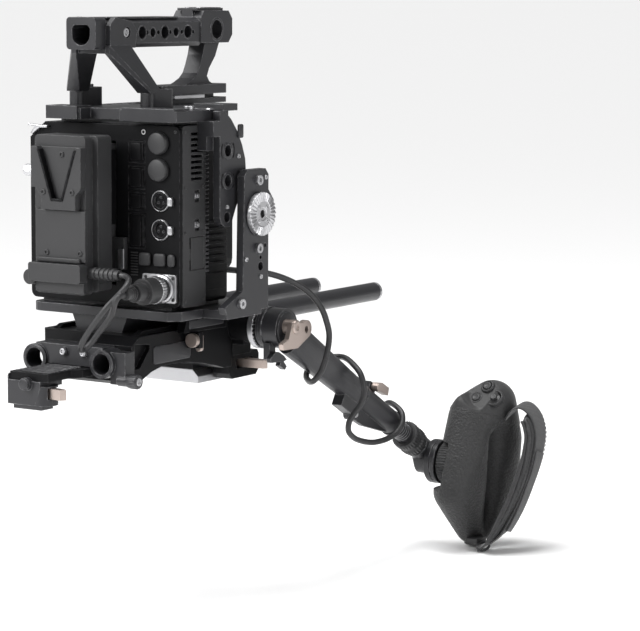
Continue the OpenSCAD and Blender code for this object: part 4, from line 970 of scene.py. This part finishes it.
class RIG_OT_side_controls(RigPiece, bpy.types.Operator):
    """Lay out the operator's side: a plain status screen, a row of keys, a dial, a card door and vents"""

    bl_idname = "rig.side_controls"
    bl_label = "Operator's side"

    def execute(self, context):
        left = -64.0
        deck = [slab(round_rect((50, 92), (102, 150), 3), 0, left - 0.9, left + 0.4, 0.5)]
        deck += [slab(round_rect((50, 44), (78, 86), 2), 0, left - 0.8, left + 0.4, 0.4)]
        piece("control_deck", deck, "dark_plastic")
        piece("status_screen", [slab(round_rect((64, 120), (98, 144), 1.5), 0, left - 1.2, left - 0.5, 0.2)], "sensor_glass")
        keys = [slab(round_rect((55.5, z), (61, z + 4.6), 1), 0, left - 2.0, left - 0.6, 0.5) for z in (96.5, 104.5, 120, 128, 136)]
        keys += [slab(round_rect((y, 96.5), (y + 6, 101), 1), 0, left - 2.0, left - 0.6, 0.5) for y in (66, 75, 84)]
        keys += [slab(disc((94.5, 108), 4.0), 0, left - 2.2, left - 0.6, 0.6)]
        piece("control_keys", keys, "cable_rubber")
        dial = [(0, 0.05), (0, 5.4), (0.3, 5.8), (3.4, 5.6), (3.8, 5.0), (3.8, 0.05)]
        piece("control_dial", [lathe((left - 0.6, 75, 109.5), -X, dial, 96, ripple=teeth(24, 0.15, 5.2))], "black_anodised")
        door = [slab(round_rect((52, 46), (76, 84), 1.6), 0, left - 1.5, left - 0.5, 0.4),
                slab(round_rect((72.6, 60), (74.6, 70), 0.9), 0, left - 2.2, left - 1.2, 0.4)]
        piece("card_door", door, "black_paint")
        vents = [slab(round_rect((82, z), (100, z + 1.6), 0.7), 0, left - 0.7, left + 0.3, 0.3) for z in np.arange(48, 86, 3.2)]
        piece("left_vents", vents, "black_anodised")
        ribs = [slab(round_rect((72.2, z), (76.0, z + 1.6), 0.6), 0, 65.4, 70.2, 0.3) for z in np.arange(62, 166, 3.1)]
        piece("cooling_ribs", ribs, "black_anodised")
        return {"FINISHED"}


class RIG_OT_top_details(RigPiece, bpy.types.Operator):
    """Finish the top: shoe rails, cage lock latch, threaded inserts, handle rail teeth and eye liners"""

    bl_idname = "rig.top_details"
    bl_label = "Cage and handle"

    def execute(self, context):
        shoe = [slab(round_rect((-27, 57), (-1, 66), 1), 2, 167.9, 169.4, 0.3), slab(round_rect((-22, 59), (-6, 64), 1), 2, 169.3, 170.4, 0.3)]
        piece("body_shoe", shoe, "silver_metal")
        latch = [slab(np.array([(-63.5, 164.8), (-63.0, 166.2), (-52, 165.2), (-46, 165.4), (-46, 163.6), (-53, 163.4), (-60, 158.6),
                                (-61.2, 159.4), (-57.5, 164.0)])[::-1], 1, 36.4, 39.8, 0.3)]
        piece("cage_latch", latch, "silver_metal")
        inserts = [lathe((-32, y, 178.4), Z, [(0, 2.6), (0, 3.1), (0.9, 3.1), (1.0, 2.6)], 32, hole=True) for y in (92, 104, 116, 128, 140)]
        collars = [lathe((83.4, 80, z), X, [(0, 4.3), (0, 6.4), (0.7, 6.4), (0.9, 6.0), (0.9, 4.3)], 48, hole=True) for z in (128, 149.5)]
        eyes = [lathe((s * 12.6, 168.5, 234), X * s, [(0, 7.05), (0, 9.2), (0.6, 9.0), (0.7, 7.05)], 56, hole=True) for s in (-1, 1)]
        holes = [lathe((s * 11.6, y, 232.5), X * s, [(0, r), (0, r + 1.1), (0.55, r + 0.9), (0.6, r)], 40, hole=True)
                 for s in (-1, 1) for y, r in ((75, 4.65), (103, 4.65), (132, 4.65), (88, 3.25), (117, 3.25))]
        piece("thread_liners", inserts + collars + eyes + holes, "black_anodised")
        marks = []
        for z in (128, 149.5):
            for s in (-1, 1):
                t = np.linspace(-0.7, 0.7, 12) + (0 if s > 0 else pi)
                outer = np.stack([80 + 8.6 * np.cos(t), z + 8.6 * np.sin(t)], -1)
                inner = np.stack([80 + 7.6 * np.cos(t), z + 7.6 * np.sin(t)], -1)[::-1]
                marks.append(slab(np.concatenate([outer, inner]), 0, 83.9, 84.25, 0.08))
        piece("arc_slots", marks, "black_paint")
        rail = [slab(round_rect((-8.6, y), (8.6, y + 1.4), 0.5), 2, 249.7, 250.0 + 0.5, 0.2) for y in np.arange(162, 180, 4.2)]
        piece("handle_rail_teeth", rail, "black_anodised")
        pad = round_rect((-10.4, 34), (10.4, 124), 3)
        piece("handle_top_pad", [slab(pad, 2, 242.6, 243.9, 0.5)], "black_anodised")
        feet = [slab(round_rect((s * 32 - 5.0, 52.5), (s * 32 + 5.0, 63.5), 1.5), 2, 192.2, 193.3, 0.4) for s in (-1, 1)]
        piece("foot_pads", feet, "black_anodised")
        bumps = [slab(round_rect((92, 158), (98, 168), 1.5), 0, 83.8, 85.4, 0.4)]
        piece("cable_clip", bumps, "black_anodised")
        return {"FINISHED"}


class RIG_OT_base_details(RigPiece, bpy.types.Operator):
    """Finish the baseplate: rod ends, clamp rings, side plates, the tail's rail and the shoulder strip"""

    bl_idname = "rig.base_details"
    bl_label = "Baseplate"

    def execute(self, context):
        ends = [lathe((s * 30, 370.4, 17), Y, [(0, 5.2), (0, 7.5), (2.4, 7.5), (3.4, 6.6), (3.4, 5.2)], 56, hole=True) for s in (-1, 1)]
        plugs = [lathe((s * 30, 370, 17), Y, [(0, 0.05), (0, 5.1), (2.7, 5.1), (2.7, 2.2), (1.8, 1.9), (1.8, 0.05)], 40) for s in (-1, 1)]
        piece("rod_end_rings", ends, "silver_metal")
        piece("rod_end_plugs", plugs, "dark_plastic")
        rims = [lathe((s * 30, 0.6, 0), -Y, [(0, 7.55), (0, 9.9), (0.7, 9.6), (1.0, 8.8), (1.0, 7.9), (0.6, 7.55)], 72, hole=True) for s in (-1, 1)]
        bores = [lathe((s * 30, 16.1, 0), Y, [(-15.9, 7.42), (-15.9, 7.52), (-0.2, 7.52), (-0.2, 7.42)], 56, hole=True) for s in (-1, 1)]
        piece("rod_clamp_rims", rims + bores, "black_anodised")
        flat = [slab(round_rect((42, -4), (88, 9), 2.5), 0, s * 45 - 0.7, s * 45 + 0.7, 0.4) for s in (-1, 1)]
        piece("base_side_plates", flat, "black_anodised")
        rail = [slab(round_rect((-18.6, y), (12.6, y + 2.0), 0.5), 2, -3.9, -3.2, 0.3) for y in np.arange(-36, 12, 5.0)]
        piece("tail_rail_teeth", rail, "black_anodised")
        knob = [(0, 0.05), (0, 4.6), (0.5, 5), (4.2, 5), (4.8, 4.4), (4.8, 0.05)]
        piece("tail_knob", [lathe((-4, -43.8, -11.6), -Y, [(a * 0.4, r * 0.82) for a, r in knob], 60, ripple=teeth(20, 0.15, 3.5))], "black_anodised")
        side = [lathe((59.1, 6, -11), X, [(-9, 3.9), (-9, 4.7), (-6.5, 5.1), (-0.8, 5.1), (-0.2, 4.6), (-0.2, 2.4), (-1.4, 2.2), (-1.4, 0.05)], 60, ripple=teeth(18, 0.18, 4.9))]
        piece("clamp_knob", side, "black_anodised")
        piece("clamp_screw", [hex_screw((58.0, 6, -11), X, 2.9, 1.4)], "silver_metal")
        lock = [slab(round_rect((78, 18.2), (122, 24.6), 1.5), 0, 50.8, 51.6, 0.3)]
        piece("side_lock_plate", lock, "black_anodised")
        piece("plate_pads", [slab(round_rect((-17, y), (17, y + 12), 2), 2, -20.1, -19.4, 0.2) for y in (168, 186)], "cable_rubber")
        return {"FINISHED"}


class RIG_OT_arm_details(RigPiece, bpy.types.Operator):
    """Finish the arm: end rings on each tube, clamp screw, ribbed collar, and the end's ring"""

    bl_idname = "rig.arm_details"
    bl_label = "Arm"

    def execute(self, context):
        def ring(a, r0, r1, w):
            return lathe(ARM_START, ARM, [(a, r0), (a, r1 - 0.3), (a + 0.3, r1), (a + w - 0.3, r1), (a + w, r1 - 0.3), (a + w, r0)], 64, hole=True)
        piece("arm_rings", [ring(128.2, 9.45, 9.95, 2.2), ring(187.4, 9.45, 10.3, 4.0), ring(192.0, 7.6, 9.3, 1.4)], "black_anodised", "arm")
        mark = [(0, 7.4), (0, 7.5), (0.1, 7.53), (0.4, 7.53), (0.5, 7.5), (0.5, 7.4)]
        rows = [lathe(ARM_START + a * ARM, ARM, mark, 64, hole=True) for a in (196, 199, 202, 205, 208)]
        piece("tube_marks", rows, "silver_metal", "extension")
        knurl = [(212.2, 7.6), (212.2, 10.6), (213, 11.4), (218, 11.6), (219.5, 10.6), (223.5, 10.6), (225, 11.6), (230, 11.4), (230.8, 10.6), (230.8, 7.6)]
        collar = piece("collar_ribbed", [lathe(ARM_START, ARM, knurl, 240, hole=True, ripple=teeth(30, 0.3, 11.0))], "dark_plastic", "arm_collar")
        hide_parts("arm_collar")
        piece("arm_end_ring", [ring(233.2, 7.6, 10.5, 3.0)], "black_anodised", "extension")
        stud = [(26.2, 0.05), (26.2, 5.4), (31, 5.4), (35.4, 5.2), (36.2, 4.4), (36.2, 2.4), (35.2, 2.2), (35.2, 0.05)]
        piece("wing_cap", [lathe(HUB + np.array([0, -2, 2]), X, stud, 48)], "tan_metal", "hub_lever")
        return {"FINISHED"}


class RIG_OT_stage(RigPiece, bpy.types.Operator):
    """Set up the pale floor, the soft studio lights and the camera"""

    bl_idname = "rig.stage"
    bl_label = "Stage"

    def execute(self, context):
        scene = context.scene
        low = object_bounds()[0][2] - 0.0006
        half = 400.0
        mesh = bpy.data.meshes.new("floor")
        mesh.from_pydata([(-half, -half, low), (half, -half, low), (half, half, low), (-half, half, low)], [], [(0, 1, 2, 3)])
        floor = bpy.data.objects.new("floor", mesh)
        scene.collection.objects.link(floor)
        material = bpy.data.materials.new("pale_floor")
        material.use_nodes = True
        shader = material.node_tree.nodes["Principled BSDF"]
        shader.inputs["Base Color"].default_value = (0.93, 0.93, 0.93, 1)
        shader.inputs["Roughness"].default_value = 0.55
        mesh.materials.append(material)
        floor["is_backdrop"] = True
        world = bpy.data.worlds.new("studio")
        world.use_nodes = True
        world.node_tree.nodes["Background"].inputs["Color"].default_value = (1, 1, 1, 1)
        world.node_tree.nodes["Background"].inputs["Strength"].default_value = 0.32
        scene.world = world
        sun = bpy.data.lights.new("overhead", "SUN")
        sun.energy = 2.75
        sun.angle = radians(50)
        lamp = bpy.data.objects.new("overhead", sun)
        lamp.rotation_euler = (radians(20), radians(-24), 0)
        scene.collection.objects.link(lamp)
        aim = Vector(((cad_box[0][0] + cad_box[1][0]) / 2, 0.05, 0.08))
        for name, spot, size, power in (
                ("key", (-0.9, -1.7, 1.0), 0.7, 34), ("top", (0.1, 0.1, 1.5), 0.6, 16),
                ("right", (1.7, -0.3, 0.6), 0.5, 9)):
            data = bpy.data.lights.new(name, "AREA")
            data.size = size
            data.energy = power
            lamp = bpy.data.objects.new(name, data)
            lamp.location = spot
            lamp.rotation_euler = (aim - Vector(spot)).to_track_quat("-Z", "Y").to_euler()
            scene.collection.objects.link(lamp)
        scene.view_settings.view_transform = "Standard"
        data = bpy.data.cameras.new("camera")
        data.lens = 147.09
        data.sensor_width = 36.0
        data.shift_x, data.shift_y = 0.0047, 0.0398
        data.clip_end = 2000
        camera = bpy.data.objects.new("camera", data)
        ahead = Vector((-0.53245, 0.83579, -0.13399)).normalized()
        right = Vector((0.84296, 0.53794, 0.00571)).normalized()
        up = right.cross(ahead).normalized()
        turn = Matrix((right, up, -ahead)).transposed()
        camera.matrix_world = Matrix.Translation((1.14467, -1.62492, 0.29572)) @ turn.to_4x4()
        scene.collection.objects.link(camera)
        scene.camera = camera
        return {"FINISHED"}


OPERATORS = (RIG_OT_finishes, RIG_OT_stage, RIG_OT_cables, RIG_OT_grip, RIG_OT_strap, RIG_OT_rosettes, RIG_OT_screws,
             RIG_OT_rear_panel, RIG_OT_battery_plate, RIG_OT_lens_front, RIG_OT_side_controls, RIG_OT_top_details,
             RIG_OT_base_details, RIG_OT_arm_details)


class RIG_PT_panel(bpy.types.Panel):
    """Lists the rig's pieces in the sidebar"""

    bl_idname = "RIG_PT_panel"
    bl_label = "Camera rig"
    bl_space_type = "VIEW_3D"
    bl_region_type = "UI"
    bl_category = "Camera rig"

    def draw(self, context):
        layout = self.layout
        for group in (context.scene.rig_sizes, context.scene.rig_colours):
            for name in group.__annotations__:
                layout.prop(group, name)
        for operator in OPERATORS:
            layout.operator(operator.bl_idname)


CLASSES = (RigSizes, RigColours) + OPERATORS + (RIG_PT_panel,)


def register():
    for cls in CLASSES:
        bpy.utils.register_class(cls)
    bpy.types.Scene.rig_sizes = bpy.props.PointerProperty(type=RigSizes)
    bpy.types.Scene.rig_colours = bpy.props.PointerProperty(type=RigColours)


def unregister():
    del bpy.types.Scene.rig_colours
    del bpy.types.Scene.rig_sizes
    for cls in reversed(CLASSES):
        bpy.utils.unregister_class(cls)


def main():
    register()
    for operator in OPERATORS:
        group, name = operator.bl_idname.split(".")
        getattr(getattr(bpy.ops, group), name)()


if __name__ == "__main__":
    main()
